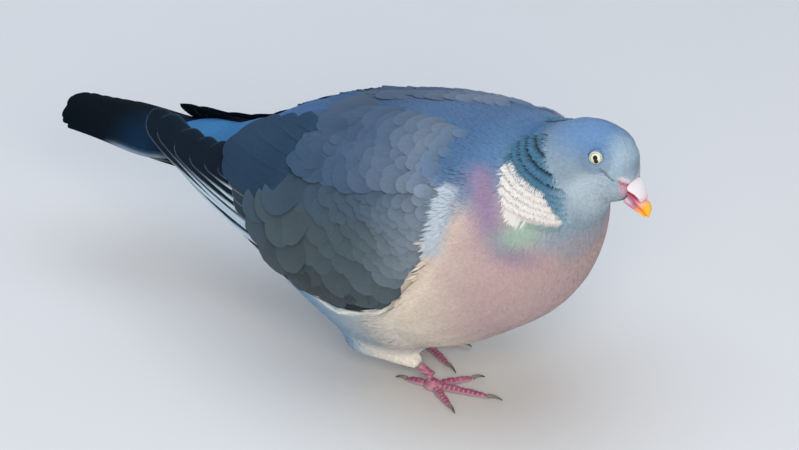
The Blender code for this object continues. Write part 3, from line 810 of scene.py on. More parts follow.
def cast(tree, plane, x, b):
    """The outermost point of a tree over (x, b) of a plane, in mm, or None."""
    out, up = plane
    start = (np.array((x, 0.0, 0.0)) + up * b) / 1000 + out * REACH
    hit = tree.ray_cast(Vector(start), Vector(-out))[0]
    return None if hit is None else np.array(hit) * 1000


def set_root(rows, plane, x, b, way, size):
    """Adds a root on the skin with its lie, way being the angle below straight back, and its length."""
    hit = cast(SKIN_TREE, plane, x, b)
    if hit is not None:
        rows.append((*hit, *(np.array((-math.cos(way), 0, 0)) - plane[1] * math.sin(way)), size))


def covert_roots(side):
    """Roots, lies and lengths of the wing coverts on one side."""
    rng = np.random.default_rng(40)
    plane, wing = leaning(side, 0.0), WING_TREES[side]
    rows, radius, ring = [], 19.0, 0
    while radius < 122:
        step = 4.4 + 7.2 * ease(radius, 42, 76)
        turn = step * (0.75 + 0.25 * ease(radius, 42, 76)) / radius
        angles = np.arange(math.radians(-4), math.radians(140), turn) + (ring % 2) * turn / 2
        for a in angles + rng.normal(0, 0.06 * turn, len(angles)):
            reach = radius + 15 * ease(a, 1.35, 2.0) + rng.normal(0, 0.035 * step)
            x, z = FAN[0] - reach * math.cos(a), FAN[1] - reach * math.sin(a)
            way = min(a, 1.25 + 0.1 * (a - 1.25)) + rng.normal(0, 0.05)
            if (z > between(COVERT_TOP, x) or x > min(92.5, wing_front_at(z) - 1.0) + rng.normal(0, 0.4)
                    or (x < 84 and cast(wing, plane, x, z) is None)):
                continue
            for share in (1.0, 0.85, 0.7, 0.55, 0.4):
                size = 2.35 * step * share
                tip_x, tip_z = x - 0.95 * size * math.cos(way), z - 0.95 * size * math.sin(way)
                low = tip_z - 2.4 * ease(tip_x, 8, 18)
                if tip_x > between(COVERT_LIMIT, tip_z) and cast(wing, plane, tip_x, low) is not None:
                    set_root(rows, plane, x, z, way, size)
                    break
        radius += step
        ring += 1
    return np.array(rows)


def covert_lift(rows):
    """Coverts lie flat near the wing's front edge and stand clear of the tertials' roots behind, in mm."""
    behind = rows[:, 0] - 0.95 * rows[:, 6]
    return (0.3 + 0.6 * ease(wing_front_at(rows[:, 2]) - rows[:, 0], 2, 14)
            + 3.4 * ease(behind, 0, -18) * ease(rows[:, 2], 84, 98))


def scapular_roots(side):
    """Roots, lies and lengths of the feathers over the wing's upper edge."""
    rng = np.random.default_rng(41)
    rows, plane = [], leaning(side, ROOF_LEAN)
    for i, row in enumerate(np.arange(88.0, 121.0, 5.4)):
        x = 86.0 - (i % 2) * 4
        while x > 9 + 0.1 * (row - 89):
            grown = ease(x, 90, 50)
            b, way = row + 0.02 * (x - 50) + rng.normal(0, 0.7), 0.24 + rng.normal(0, 0.06)
            set_root(rows, plane, x, b, way, 12 + 13 * grown)
            x -= 4.4 + 3.6 * grown + rng.normal(0, 0.5)
    return np.array(rows)


def scapular_lift(rows):
    """The right side's scapulars stand clear of the tertials' roots behind."""
    return 1.3 + 2.8 * ease(rows[:, 0] - rows[:, 6], 10, -12) * (rows[:, 1] < 0)


def covert_colour(root_at, vane, wing):
    """A covert is painted darker at its root, as shade under the covert above, and hardly paler along its
    rim.
    """
    behind = root_at.copy()
    behind[:, 0] = np.minimum(behind[:, 0], 87.5)
    colour = plumage(behind, wing * np.where(wing > 0.95, 1.0, ease(root_at[:, 0], 94, 76)))
    u, v = np.abs(vane[:, 0]), vane[:, 1]
    rim = np.maximum(ease(u, 0.6, 0.95), ease(v, 0.82, 0.97))
    # painted shade: darker towards the root, under the overlapping covert; the pale rim is the feather's own
    # fringe
    return colour * ((0.80 + 0.20 * ease(v, 0.3, 0.85)) * (1 + 0.05 * rim))[:, None]


def round_end(v, turn_in=0.6, base=0.45):
    """Half width of a rounded vane at v: narrow at the root, full past its middle, round at the tip."""
    if v > turn_in:
        return math.sqrt(max(0.0, 1 - ((v - turn_in) / (1 - turn_in)) ** 2))
    return base + (1 - base) * math.sin(0.5 * math.pi * v / turn_in)


COVERT = vane_blade("covert", 7, 6, round_end, 0.08)
for side_name, side in SIDES:
    for name, roots_on, lift_of, width, wing in (("wing_coverts_", covert_roots, covert_lift, 0.84, 1.0),
                                                 ("scapulars_", scapular_roots, scapular_lift, 0.74, 0.9)):
        rows = roots_on(side)
        roots = root_mesh(rows[:, :3], rows[:, 3:6], rows[:, 6], lift_of(rows), wing)
        grow(name + side_name, IN_ROWS, roots, COVERT, soft_barbs,
             {"Width": width, "Waver": 0.05, "Roll": 0.02, "Tone": 0.045, "Seed": 6},
             covert_colour)

# Flight feathers: stiff long vanes, the tertials broad and round over the primaries, whose dark tips step
# back one behind the other and whose outer webs have a white edge. They lie in a flat stack.

LAYER = 0.30                                 # thickness of one feather in the stack, mm
SHEET_STEP = 2.0                             # between the places at which the body under them is felt, mm
LONG_ROWS = 24
LONG_COLUMNS = (-1.0, -0.93, -0.8, -0.4, -0.08, 0.0, 0.08, 0.4, 0.66, 0.76, 0.83, 0.89, 0.94, 1.0)


def neighbours(heights, **fill):
    padded = np.pad(heights, 1, **fill)
    return np.stack([padded[2:, 1:-1], padded[:-2, 1:-1], padded[1:-1, 2:], padded[1:-1, :-2]])


def surface_over(nodes, plane, first, second, smoothing):
    """Heights of CAD nodes over a plane of X and upwards, felt at even steps, with holes filled."""
    seen, (out, up) = cad_tree(*nodes), plane
    a, b = np.arange(*first, SHEET_STEP), np.arange(*second, SHEET_STEP)
    hits = [[cast(seen, plane, pa, pb) for pb in b] for pa in a]
    heights = np.array([[math.nan if hit is None else np.dot(hit, out) for hit in line] for line in hits])
    while np.isnan(heights).any():
        around = neighbours(heights, constant_values=np.nan)
        known = ~np.isnan(around)
        count = known.sum(0)
        fill = np.isnan(heights) & (count > 0)
        heights[fill] = np.where(known, around, 0).sum(0)[fill] / count[fill]
    for _ in range(smoothing):
        heights = (heights * 2 + neighbours(heights, mode="edge").sum(0)) / 6

    def height(pa, pb):
        fa = np.clip((pa - a[0]) / SHEET_STEP, 0, len(a) - 1.001)
        fb = np.clip((pb - b[0]) / SHEET_STEP, 0, len(b) - 1.001)
        ia, ib = fa.astype(int), fb.astype(int)
        ta, tb = fa - ia, fb - ib
        return (heights[ia, ib] * (1 - ta) * (1 - tb) + heights[ia + 1, ib] * ta * (1 - tb)
                + heights[ia, ib + 1] * (1 - ta) * tb + heights[ia + 1, ib + 1] * ta * tb)
    return height


def long_vane(edge, half_width, tip_round):
    """The grid of one long feather beside its lower edge, a line of plane places from root to tip."""
    edge = np.array(edge, float)
    far = np.concatenate([[0], np.cumsum(np.linalg.norm(np.diff(edge, axis=0), axis=1))])
    t = np.sin(0.5 * math.pi * np.linspace(0, 1, LONG_ROWS + 1))
    line = np.stack([np.interp(t * far[-1], far, edge[:, k]) for k in (0, 1)], 1)
    for _ in range(6):
        line[1:-1] = (line[:-2] + 2 * line[1:-1] + line[2:]) / 4
    ahead = np.gradient(line, axis=0)
    ahead /= np.linalg.norm(ahead, axis=1)[:, None]
    aside = np.stack([-ahead[:, 1], ahead[:, 0]], 1)
    middle = line - aside * half_width
    u = np.array(LONG_COLUMNS)
    turn_in = 1 - tip_round * half_width / far[-1]
    late = np.clip((t - turn_in) / (1 - turn_in), 0, 1)
    width = half_width * np.minimum(1, 0.6 + 1.5 * t) * np.sqrt(np.clip(1 - late ** 2, 0, 1))
    plane = middle[:, None] + (width[:, None] * u[None])[:, :, None] * aside[:, None]
    shape = (len(t), len(u))
    return plane, np.broadcast_to(u, shape), np.broadcast_to(t[:, None], shape), width[:, None], far[-1]


def long_feathers(name, feathers, place, colour_of, nodes, finish):
    """One piece from several long feathers; place gives 3-D places of a plane grid, colour_of its colours."""
    points, faces, colours, in_mm, patches = [], [], [], [], []
    for order, (edge, half_width, tip_round, layer, kind) in enumerate(feathers):
        plane, u, t, width, length = long_vane(edge, half_width, tip_round)
        lift = layer * LAYER + 0.35 * (1 - u ** 2) * width / 8
        laid = place(plane, lift, kind)
        rows, columns = u.shape
        row, column = rows // 2, columns // 2
        middle = laid[row, column]
        facing = np.cross(laid[row, column + 2] - middle, laid[row + 1, column] - middle)
        outer = place(plane, lift + 1, kind)[row, column] - middle
        turned = 1 if np.dot(facing, outer) > 0 else -1
        faces += [face[::turned] for face in grid(rows, columns, len(points))]
        points += list(laid.reshape(-1, 3) / 1000)
        across, along = u.ravel(), t.ravel()
        colours.append(colour_of(kind, across, along, ((1 - np.abs(u)) * width).ravel(), order))
        in_mm.append(np.stack([(u * width).ravel(), along * length], 1))
        patches.append(np.stack([(order + 0.5 + 0.45 * across) / len(feathers), 0.02 + 0.96 * along], 1))
    made = new_object(name, points, faces)
    store_colour(made.data, "plumage", np.vstack(colours))
    add_maps(made.data, {"OFBake": np.vstack(patches), "vane_mm": np.vstack(in_mm)})
    made.data.materials.append(finish)
    merge_slivers(made.data, 1e-7, False)
    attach(made, "root")
    if nodes:
        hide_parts(*nodes)


def wing_vane_colour(kind, u, t, from_edge, order):
    """Colours of a wing's long feathers; the outer web, where u is above 0, is the one at the lower edge."""
    if kind == "primary":
        base = plain("#15202c", u) * (1.0 + 0.25 * ease(u, -0.2, -0.9))[:, None]
        margin = 0.55 + 1.7 * ease(t, 0.85, 0.25)
        edge = ease(from_edge, margin + 0.35, margin - 0.25) * (u > 0) * (0.06 + 0.94 * ease(t, 0.88, 0.55))
        return over(base, ("#c6dbea", edge), ("#5f7488", ease(from_edge, 0.8, 0.1) * ease(t, 0.7, 0.9) * 0.3))
    if kind == "secondary":
        return over(plain("#38454f", u), ("#8f9bab", ease(from_edge, 0.7, 0.1) * 0.6))
    shade = (0.86 + 0.18 * ease(t, 0.2, 0.8)) * (1 + 0.10 * ease(from_edge, 1.8, 0.1))
    return plain("#2d4359", u) * shade[:, None]


WING_FEATHERS = (  # lower edge, root to tip, on the leaning plane, half width, tip's roundness, layer, kind
    (((12, 25), (-13, 30.2), (-28.5, 32.5), (-45, 36.3), (-62.4, 42.6), (-76, 49.5), (-95, 57.5), (-112, 66)),
     8.5, 1.3, -10, "primary"),
    (((10, 28), (-14.7, 33), (-22.5, 35.3), (-36.6, 39), (-51.6, 42.3), (-66.7, 46.4), (-80.5, 52),
      (-93.5, 57), (-107.3, 60.9), (-115.4, 65.3), (-123, 71), (-127, 75)), 9.0, 1.2, -9, "primary"),
    (((8, 30.5), (-20, 36.2), (-36, 40.6), (-50, 43.8), (-64, 47.8), (-76, 52.8), (-90, 58.3), (-103, 63.3),
      (-114, 68.5), (-118, 71)), 9.0, 1.2, -8, "primary"),
    (((6, 35), (-20, 40), (-28.7, 42), (-36.2, 44.2), (-50.4, 47.2), (-63.8, 50.6), (-76.3, 54.8), (-85, 58),
      (-95, 61.7), (-103, 66)), 9.5, 1.2, -7, "primary"),
    (((6, 41), (-20, 44.5), (-43.8, 49.6), (-50.5, 51.4), (-62.6, 54.4), (-75, 57.8), (-84, 60.6),
      (-90, 63.5)), 9.5, 1.2, -6, "primary"),
    (((6, 48), (-20, 51), (-44.6, 54.7), (-55.4, 56.6), (-65.8, 58.9), (-73, 60.8), (-78, 63)),
     9.5, 1.2, -5, "primary"),
    (((6, 54), (-30, 57), (-52.6, 59.1), (-60, 60.6), (-66, 62.7)), 9.5, 1.1, -4, "primary"),
    (((12, 36.5), (-15, 39.5), (-30, 42), (-43, 46.5)), 6.0, 1.3, -3, "secondary"),
    (((12, 43), (-15, 45.5), (-32, 48), (-45, 51.5)), 6.0, 1.3, -2, "secondary"),
    (((12, 49), (-15, 51), (-35, 53.8), (-50, 57)), 6.0, 1.3, -1, "secondary"),
    (((14, 52), (-20, 54.3), (-44, 57.6), (-60, 62.5)), 9.5, 1.2, 0, "tertial"),
    (((14, 60), (-20, 62.5), (-45, 66), (-64, 71.5)), 9.5, 1.1, 2, "tertial"),
    (((16, 70), (-15, 72.5), (-40, 76), (-62, 82)), 9.0, 1.1, 4, "tertial"),
    (((18, 79), (-10, 81.5), (-32, 85), (-52, 91)), 7.5, 1.1, 6, "tertial"),
    (((20, 87), (-5, 89.5), (-22, 92.5), (-38, 97)), 6.5, 1.1, 8, "tertial"),
    (((24, 94), (2, 96.5), (-12, 99), (-24, 102)), 5.5, 1.1, 10, "tertial"),
)
FAR_TIP_DROP = 9.54                          # how far the left wing's tip hangs below the right one's, mm
FAR_WING_SHUT, FAR_TERTIALS_SHUT = 4.0, 20.0  # how much lower the left wing and its tertials are held
WING_SPAN = ((-134, 104), (10, 132))         # the part of the leaning plane under the feathers
firm_barbs = feather_material("firm flight feather barbs", 0.06, 0.0, 0.04, 0.85)
for side_name, side in SIDES:
    out, up = leaning(side, ROOF_LEAN)
    side_nodes = ("wing_" + side_name, "flight_feathers_" + side_name)
    stack_face = surface_over(side_nodes, (out, up), *WING_SPAN, 16)
    roof_face = surface_over((*side_nodes, "trunk"), (out, up), *WING_SPAN, 16)

    def on_wing_side(plane, lift, kind):
        x, b = plane[..., 0], plane[..., 1]
        far, tertial = side > 0, kind == "tertial"
        if far:
            b = b - FAR_TIP_DROP * np.clip((-62 - x) / 65, 0, 1) ** 1.2
            x = x - 0.12 * np.maximum(0, -60 - x)
            b = b - (FAR_WING_SHUT + FAR_TERTIALS_SHUT * tertial)
        if tertial:
            b = b - 4.0 * ease(b, 94, 108)
            bulge = 1.2 + 6.0 * np.exp(-((x + 56) / 26) ** 2 - ((b - 84) / 13) ** 2)
            proud = -2.0 - 3.5 * ease(x, -36, -22) if far else bulge
            height = roof_face(x, b) + proud - 7.0 * ease(x, -12, 3)
        else:
            height = stack_face(x, b) + 0.9 - 4.5 * far * ease(x, -40, -75) - 6.0 * ease(x, -24, 0)
        return x[..., None] * np.array((1, 0, 0)) + b[..., None] * up + (height + lift)[..., None] * out
    long_feathers("flight_feathers_" + side_name + "_vanes", WING_FEATHERS, on_wing_side, wing_vane_colour,
                  ("flight_feathers_" + side_name,), firm_barbs)

# Tail: twelve feathers in a narrow shut fan, the middle pair on top, slate with a black end, and beneath them
# a paler sheet with a grey band. Blue upper coverts and pale lower coverts overlap their roots.

TAIL_ROOT, TAIL_END, TAIL_SLANT = -96, -188.0, 15.0
TAIL_SPAN = ((-190, -40), (-44, 50))
TAIL_COVERTS = ((-74, -117, 8, 20), (-66, -102, 7, 19), (-58, -92, 7, 17))  # root and tip X, count, reach


def tail_colour(kind, u, t, from_edge, order):
    if kind == "upper":
        # the dark blue at the root is partly the feathers' own slate and partly a painted blue sky reflection
        # in their gloss
        base = over(plain("#0d2a42", u), ("#020c15", ease(t, 0.3, 0.7)))
        grey = ease(from_edge, 3.2, 0.6) * (u > 0) * (order == 0) * ease(t, 0.66, 0.5)
        return over(base * (1 + 0.4 * ease(from_edge, 0.9, 0.1))[:, None], ("#8093a3", 0.8 * grey))
    if kind == "lower":
        return over(plain("#2a333b", u), ("#b4bdc4", ease(t, 0.34, 0.44) * ease(t, 0.78, 0.68)))
    tone = plain("#3f78a8" if kind == "upper_covert" else "#b3bcc4", u)
    return tone * ((0.9 + 0.12 * t) * (1 + 0.12 * ease(from_edge, 1.2, 0.1)))[:, None]


def tail_feather(root, tip, half_width, tip_round, layer, kind):
    """A straight feather whose middle runs between two places, X and Y, as long_feathers takes it."""
    root, tip = np.array(root), np.array(tip)
    ahead = (tip - root) / math.hypot(*(tip - root))
    aside = np.array((-ahead[1], ahead[0])) * half_width
    return (root + aside, tip + aside), half_width, tip_round, layer, kind


def covert_sink(x, kind):
    """How far a tail covert's root end goes in under the body feathers, in mm."""
    return 8.0 * ease(x, -74, -58) * ("covert" in kind)


def on_tail_top(plane, lift, kind):
    x, y = plane[..., 0], plane[..., 1]
    return np.stack([x, y, tail_top(x, y) - 0.2 + lift - covert_sink(x, kind)], -1)


def on_tail_under(plane, lift, kind):
    x, y = plane[..., 0], plane[..., 1]
    return np.stack([x, y, 0.1 - tail_under(x, y) - lift + covert_sink(x, kind)], -1)


ALONG_Z, ALONG_Y = np.array((0.0, 0.0, 1.0)), np.array((0.0, 1.0, 0.0))
tail_top = surface_over(("tail", "trunk"), (ALONG_Z, ALONG_Y), *TAIL_SPAN, 4)
tail_under = surface_over(("tail", "trunk"), (-ALONG_Z, ALONG_Y), *TAIL_SPAN, 4)
upper_sheet, lower_sheet, upper_coverts, lower_coverts = [], [], [], []
for i in range(12):
    q = (i - 5.5) / 5.5
    x_tip = TAIL_END + TAIL_SLANT * (q + 0.15) ** 2 + 7 * max(q, 0.0) + 1.4 * math.sin(5 * i)
    y_tip = q * 14.5
    upper_sheet.append(tail_feather((TAIL_ROOT, q * 20), (x_tip, y_tip), 7.6, 0.5,
                                    -0.55 * abs(q) * 5.5 - 0.1 * (q < 0), "upper"))
    lower_sheet.append(tail_feather((TAIL_ROOT, q * 17), (x_tip + 2, y_tip * 0.85), 7.0, 0.6,
                                    0.6 * abs(q) * 2.5, "lower"))
upper_sheet.sort(key=lambda f: f[3])
for ring, (x_root, x_tip, count, reach) in enumerate(TAIL_COVERTS):
    for i in range(count):
        q = 2 * (i + 0.5) / count - 1
        x_end, layer = x_tip + 9 * q * q, 2.0 + 1.6 * ring - abs(q)
        upper_coverts.append(tail_feather((x_root, q * reach), (x_end, q * (reach - 1)),
                                          6.5, 1.1, layer, "upper_covert"))
        lower_coverts.append(tail_feather((x_root - 4, q * reach), (x_end - 22, q * (reach - 2)),
                                          7.0, 1.1, layer, "lower_covert"))
for name, feathers, place, nodes, slot_name in (
        ("tail_feathers", upper_sheet, on_tail_top, ("tail",), "flight_feathers"),
        ("tail_underside", lower_sheet, on_tail_under, (), "flight_feathers"),
        ("upper_tail_coverts", upper_coverts, on_tail_top, (), "body_feathers"),
        ("lower_tail_coverts", lower_coverts, on_tail_under, (), "body_feathers")):
    long_feathers(name, feathers, place, tail_colour, nodes, firm_barbs)

# Eyes: a glossy dome with a cream iris round a dark pupil that runs to a drop low in front. A narrow ring of
# bare pale beaded skin holds it, and the head feathers start at the outer edge of the ring.

EYE_AXIS = np.array((0.30, 0.95, 0.10)) / np.linalg.norm((0.30, 0.95, 0.10))
EYE_RADIUS, EYE_CAP, EYE_SINK = 5.6, 3.4, 0.75
EYE_RINGS, EYE_SIDES = 18, 48
EYE_TALL = 1.12                              # an eye's height over its width
IRIS_SCALE = 0.84                            # of the iris and pupil, from the size their numbers give
CORNEA = 0.25                                # how far the cornea bulges, mm
LID_RADIUS, LID_SIDES, LID_BEADS = 3.7, 96, 26
LID_PROFILE = (  # distance from the pole's axis and height over the ball's surface at the rim, mm
    (2.75, 0.20), (2.80, 0.55), (2.95, 0.74), (3.15, 0.76), (3.32, 0.60), (3.5, 0.30), (3.8, -0.10),
    (4.2, -0.75), (4.7, -1.8), (5.2, -3.0))


def turn_outwards(mesh, middle):
    """Turns every face away from a point inside an open dome."""
    whole = bmesh.new()
    whole.from_mesh(mesh)
    inward = [f for f in whole.faces if f.normal.dot(f.calc_center_median() - middle) < 0]
    bmesh.ops.reverse_faces(whole, faces=inward)
    whole.to_mesh(mesh)
    whole.free()


def eye_frame(side):
    """The middle of an eye's ball, its outward axis, and the directions forwards and upwards on it, in mm."""
    axis = EYE_AXIS * (1, side, 1)
    forwards = np.array((1.0, 0.0, 0.0)) - axis * axis[0]
    forwards /= np.linalg.norm(forwards)
    upwards = np.cross(axis, forwards) * -side
    upwards *= np.sign(upwards[2]) * EYE_TALL
    return EYE_POLE * (1, side, 1) - axis * (EYE_RADIUS + EYE_SINK), axis, forwards, upwards


def eye_ball(name, side):
    """A dome of rings about the pole, the cornea bulging a little, with a map in mm from the pole."""
    middle, axis, forwards, upwards = eye_frame(side)
    points, on_eye = [middle + axis * (EYE_RADIUS + CORNEA)], [(0.0, 0.0)]
    for i in range(1, EYE_RINGS + 1):
        reach = EYE_CAP * i / EYE_RINGS
        height = math.sqrt(EYE_RADIUS ** 2 - reach ** 2) + CORNEA * math.exp(-(reach / 2.2) ** 2)
        for j in range(EYE_SIDES):
            a = 2 * math.pi * j / EYE_SIDES
            u, v = reach * math.cos(a), reach * math.sin(a)
            points.append(middle + axis * height + forwards * u + upwards * v)
            on_eye.append((u / IRIS_SCALE, v / IRIS_SCALE))
    round_ring = [(1 + j, 1 + (j + 1) % EYE_SIDES) for j in range(EYE_SIDES)]
    faces = [(0, a, b) for a, b in round_ring]
    for start in range(0, (EYE_RINGS - 1) * EYE_SIDES, EYE_SIDES):
        faces += [(start + a, start + a + EYE_SIDES, start + b + EYE_SIDES, start + b) for a, b in round_ring]
    made = new_object(name, np.array(points) / 1000, faces)
    turn_outwards(made.data, Vector(middle / 1000))
    add_maps(made.data, {"eye_mm": np.array(on_eye)})
    return made


def lid_ring(name, side):
    """A beaded rim of lid skin on the ball with a skirt that runs in under the head feathers."""
    middle, axis, forwards, upwards = eye_frame(side)
    count = len(LID_PROFILE)
    rim = math.sqrt(EYE_RADIUS ** 2 - LID_RADIUS ** 2)
    points, faces = [], []
    for i in range(LID_SIDES):
        angle = 2 * math.pi * i / LID_SIDES
        out = forwards * math.cos(angle) + upwards * math.sin(angle)
        for far_out, height in LID_PROFILE:
            bead = 0.05 * math.sin(LID_BEADS * angle) * hump(far_out, 3.1, 0.3)
            reach = far_out + 0.15 * abs(math.cos(angle))
            points.append(middle + axis * (rim + height + bead) + out * reach)
        for j in range(count - 1):
            a, b = i * count + j, ((i + 1) % LID_SIDES) * count + j
            faces.append((a, a + 1, b + 1, b))
    made = new_object(name, np.array(points) / 1000, faces)
    turn_outwards(made.data, Vector(middle / 1000))
    from_axis = np.tile([p[0] for p in LID_PROFILE], LID_SIDES)
    skirt = ease(from_axis, 3.3, 3.5)[:, None]
    # painted shade: the skirt takes the head feathers' colour a fifth darker, against the light from above on
    # it
    feathers = plumage(np.array(points), 0 * from_axis) * 0.8
    store_colour(made.data, "paint", linear("#ced6d0") * (1 - skirt) + feathers * skirt)
    return made


# Living-looking glass eye: a wet clear coat over the iris, whose fine rays and dark rim make it look deep.
PUPIL = (((-0.15, 0.7, 0.0), 1.42), ((0.50, -1.20, 0.0), 1.3))  # middle and radius of its two rounds, mm
eye_glass, tree = new_material("painted glass eye")
on_eye = put(tree, "UVMap", uv_map="eye_mm")
split = put(tree, "SeparateXYZ", {0: on_eye})
far_out = put(tree, "VectorMath", {0: on_eye}, operation="LENGTH")
round_it = put(tree, "Math", {0: split.outputs[1], 1: split.outputs[0]}, operation="ARCTAN2")
inside_of = []
for middle, radius in PUPIL:
    apart = put(tree, "VectorMath", {0: on_eye, 1: middle}, operation="SUBTRACT")
    length = put(tree, "VectorMath", {0: apart}, operation="LENGTH")
    inside_of.append(put(tree, "Math", {0: length, 1: radius}, operation="SUBTRACT"))
pupil_far = put(tree, "Math", {0: inside_of[0], 1: inside_of[1]}, operation="MINIMUM")
ray = put(tree, "Math", {0: round_it, 1: 9.0}, **TIMES)
along_ray = put(tree, "Math", {0: far_out, 1: 0.5}, **TIMES)
on_ray = put(tree, "CombineXYZ", {0: ray, 1: along_ray})
rays = put(tree, "TexNoise", {"Vector": on_ray, "Scale": 1.0, "Detail": 3.0}, noise_dimensions="2D")
iris = put(tree, "ValToRGB", {"Fac": rays})
for element, place, hex_colour in zip(iris.color_ramp.elements, (0.3, 0.65), ("#c9cca2", "#eceed2")):
    element.position = place
    element.color = rgba(hex_colour)
rim = put(tree, "MapRange", {"Value": far_out, 1: 2.95, 2: 3.45})
rimmed = put(tree, "Mix", {"Factor": rim, "A": iris, "B": rgba("#6d7160")}, data_type="RGBA")
inside = put(tree, "MapRange", {"Value": pupil_far, 1: 0.16, 2: -0.04})
whole_eye = put(tree, "Mix", {"Factor": inside, "A": rimmed, "B": rgba("#0b0d12")}, data_type="RGBA")
finish_material(tree, {"Base Color": whole_eye, "Roughness": 0.4, "Coat Weight": 0.7, "Coat Roughness": 0.02,
                       "Specular IOR Level": 0.15})

# Bare lid skin: dry and pale, with pores about 0.25 mm apart.
lid_skin = grained("bare eyelid skin", "paint", "TexVoronoi", {"Scale": 4000.0}, {3: 1.0, 4: 0.8},
                   0.5, 0.0001, {"Roughness": 0.6})

for side_name, side in SIDES:
    ball = eye_ball("eye_ball_" + side_name, side)
    ball.data.materials.append(eye_glass)
    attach(ball, "root")
    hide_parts("eye_" + side_name)
    lid = lid_ring("eye_lid_" + side_name, side)
    lid.data.materials.append(lid_skin)
    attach(lid, "root")

# Bill: horn over bone. The upper half is crimson behind and runs through peach to a glossy yellow hook. A
# swollen chalky white cere sits on its root, over a crimson slit. The lower half is lilac to a yellow tip.

BILL_X, BILL_Z = 167, 154                    # where distances along the bill and over it are counted from
BILL_THICKNESS_KEPT = ((3.0, 0.42), (5.0, 0.42), (9.5, 0.54), (14.0, 0.46), (17.5, 0.76), (21.0, 1.0))


def bill_run(at):
    """Distance along the bill from the forehead towards the tip, in mm."""
    return (at[:, 0] - BILL_X) * 0.66 - (at[:, 2] - BILL_Z) * 0.75


def along_bill(at):
    """The points, in mm, with the bill's ridge brought down from its thick part to its true height."""
    run, height = bill_run(at), (at[:, 0] - BILL_X) * 0.75 + (at[:, 2] - BILL_Z) * 0.66
    drop = np.maximum(height - 3.0, 0) * (1 - between(BILL_THICKNESS_KEPT, run))
    lowered = at - drop[:, None] * (0.75, 0.0, 0.66)
    lowered[:, 1] *= 1 - 0.14 * ease(run, 6, 12)
    return lowered


def painted_skin(name, rough, coat, grain_mm, depth_mm, level):
    """Bare skin or horn with a fine grain of the given size; a coat makes it look wet or horny."""
    return grained(name, "paint", "TexNoise", {"Scale": 1000.0 / grain_mm, "Detail": 4.0, "Roughness": 0.6},
                   {1: 0.3, 2: 0.7, 3: 1 - level, 4: 1 + level}, 0.6, depth_mm * 0.001,
                   {"Roughness": rough, "Coat Weight": coat, "Coat Roughness": 0.18,
                    "Subsurface Weight": 0.12, "Subsurface Radius": (0.6, 0.3, 0.2),
                    "Subsurface Scale": 0.0008})


def paint_cere(at, run, slit):
    waver = ripple(at, 2.5)
    slit = ease(slit + 0.3 * waver, 2.6, 1.4) * ease(run, 14.5, 12.0)
    return over(plain("#e2dde2", at), ("#d5b4c5", ease(run + 0.5 * waver, 12.0, 15.0) * 0.8),
                ("#a9486a", slit))


def paint_upper(at, run, slit):
    run = run + 0.4 * ripple(at, 2.5)
    return over(plain("#b24a6c", at), ("#d68592", ease(run, 11.5, 14.5)), ("#f0a574", ease(run, 14.0, 16.0)),
                ("#fdb316", ease(run, 17.0, 18.6)))


def paint_lower(at, run, slit):
    run = run + 0.4 * ripple(at, 2.5)
    return over(plain("#bfa3b9", at), ("#b85f80", ease(run, 11.0, 14.0) * 0.7),
                ("#e79a66", ease(run, 15.0, 17.0)), ("#f5ad28", ease(run, 18.0, 20.0)))


horn = painted_skin("polished horn bill sheath", 0.34, 0.35, 0.9, 0.03, 0.05)
chalky = painted_skin("chalky powdered cere skin", 0.85, 0.0, 0.5, 0.08, 0.06)
for name, node, swell, puffed, ridged, colour_of, material, slot_name in (
        ("bill_cere", "cere", 0.3, 0.8, True, paint_cere, chalky, "cere"),
        ("bill_horn_upper", "bill_upper", 0.1, 0.0, True, paint_upper, horn, "bill"),
        ("bill_horn_lower", "bill_lower", 0.1, 0.0, False, paint_lower, horn, "bill_skin")):
    made = refined(name, (node,), swell, 0.26, 8)
    at = places(made.data)
    run, slit = bill_run(at), below_cere(at)
    at = at + outward(made.data) * (puffed * ease(run, 10, 6))[:, None]
    if ridged:
        set_places(made.data, along_bill(at))
    store_colour(made.data, "paint", colour_of(at, run, slit))
    made.data.materials.append(material)
    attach(made, "root")
    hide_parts(node)

# Feet: crimson-pink skin in overlapping scutes about 2.6 mm apart, with pale dry edges. The claws are short
# brown horn, darker and more curved towards the point.

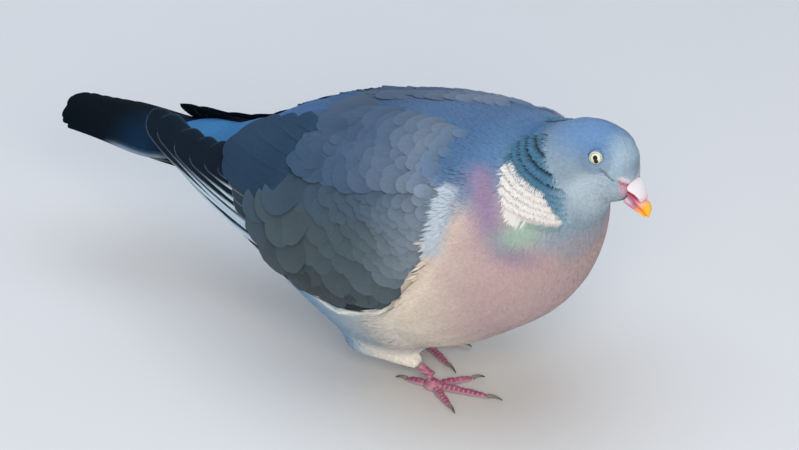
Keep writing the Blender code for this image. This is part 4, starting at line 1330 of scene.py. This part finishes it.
FOOT_MIDDLE = {"right": (61.0, -16.0), "left": (28.0, 20.0)}
SCUTE_PITCH, SCUTE_DEPTH = 2.6, 0.26
TOES = ("middle", "inner", "outer", "hind")
scaled = painted_skin("scaled foot skin", 0.5, 0.1, 0.6, 0.05, 0.10)
claw_horn = painted_skin("claw horn", 0.35, 0.4, 1.2, 0.03, 0.10)
for side_name, side in SIDES:
    nodes = ["tarsus_" + side_name, "foot_" + side_name + "_pad"] + [f"toe_{side_name}_{toe}" for toe in TOES]
    foot = refined("foot_" + side_name, nodes, 0.12, 0.42, 5)
    at, normal = places(foot.data), outward(foot.data)
    px, py = FOOT_MIDDLE[side_name]
    on_shank = ease(at[:, 2], 6.5, 9.5)
    out = np.hypot(at[:, 0] - px, at[:, 1] - py)
    phase = (out * (1 - on_shank) + (at[:, 2] + 3) * on_shank) / SCUTE_PITCH
    within = phase - np.floor(phase)
    ridge = ease(within, 0.0, 0.55) * ease(within, 1.0, 0.86)
    on_top = ease(normal[:, 2] + on_shank, 0.0, 0.5)
    at = at + normal * (SCUTE_DEPTH * (ridge - 0.4) * on_top)[:, None]
    at[:, 2] = np.maximum(at[:, 2], 0.02)
    set_places(foot.data, at)
    waver = ripple(at, 7)
    store_colour(foot.data, "paint", over(
        plain("#a55277", at), ("#c98ea0", ease(waver, -0.2, 0.8) * 0.6),
        ("#8d3560", ease(-waver, 0.2, 0.9) * 0.5), ("#d9c2c8", ease(within, 0.86, 0.97) * 0.75 * on_top),
        ("#5f2a44", ease(within, 0.16, 0.02) * 0.6 * on_top), ("#b8a9b2", (1 - on_top) * 0.7)))
    foot.data.materials.append(scaled)
    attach(foot, "root")
    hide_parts(*nodes)
    for toe in TOES:
        node = f"claw_{side_name}_{toe}"
        claw = refined(f"claw_horn_{side_name}_{toe}", (node,), 0.0, 0.28, 3)
        at = places(claw.data)
        out = np.hypot(at[:, 0] - px, at[:, 1] - py)
        to_point = (out - out.min()) / max(np.ptp(out), 0.1)
        at[:, 2] = np.maximum(at[:, 2], 0.05)
        set_places(claw.data, at)
        store_colour(claw.data, "paint", over(plain("#8b7b72", at), ("#2f2a2c", ease(to_point, 0.25, 1.0))))
        claw.data.materials.append(claw_horn)
        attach(claw, "root")
        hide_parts(node)

for blade in BLADES:
    bpy.data.objects.remove(blade)
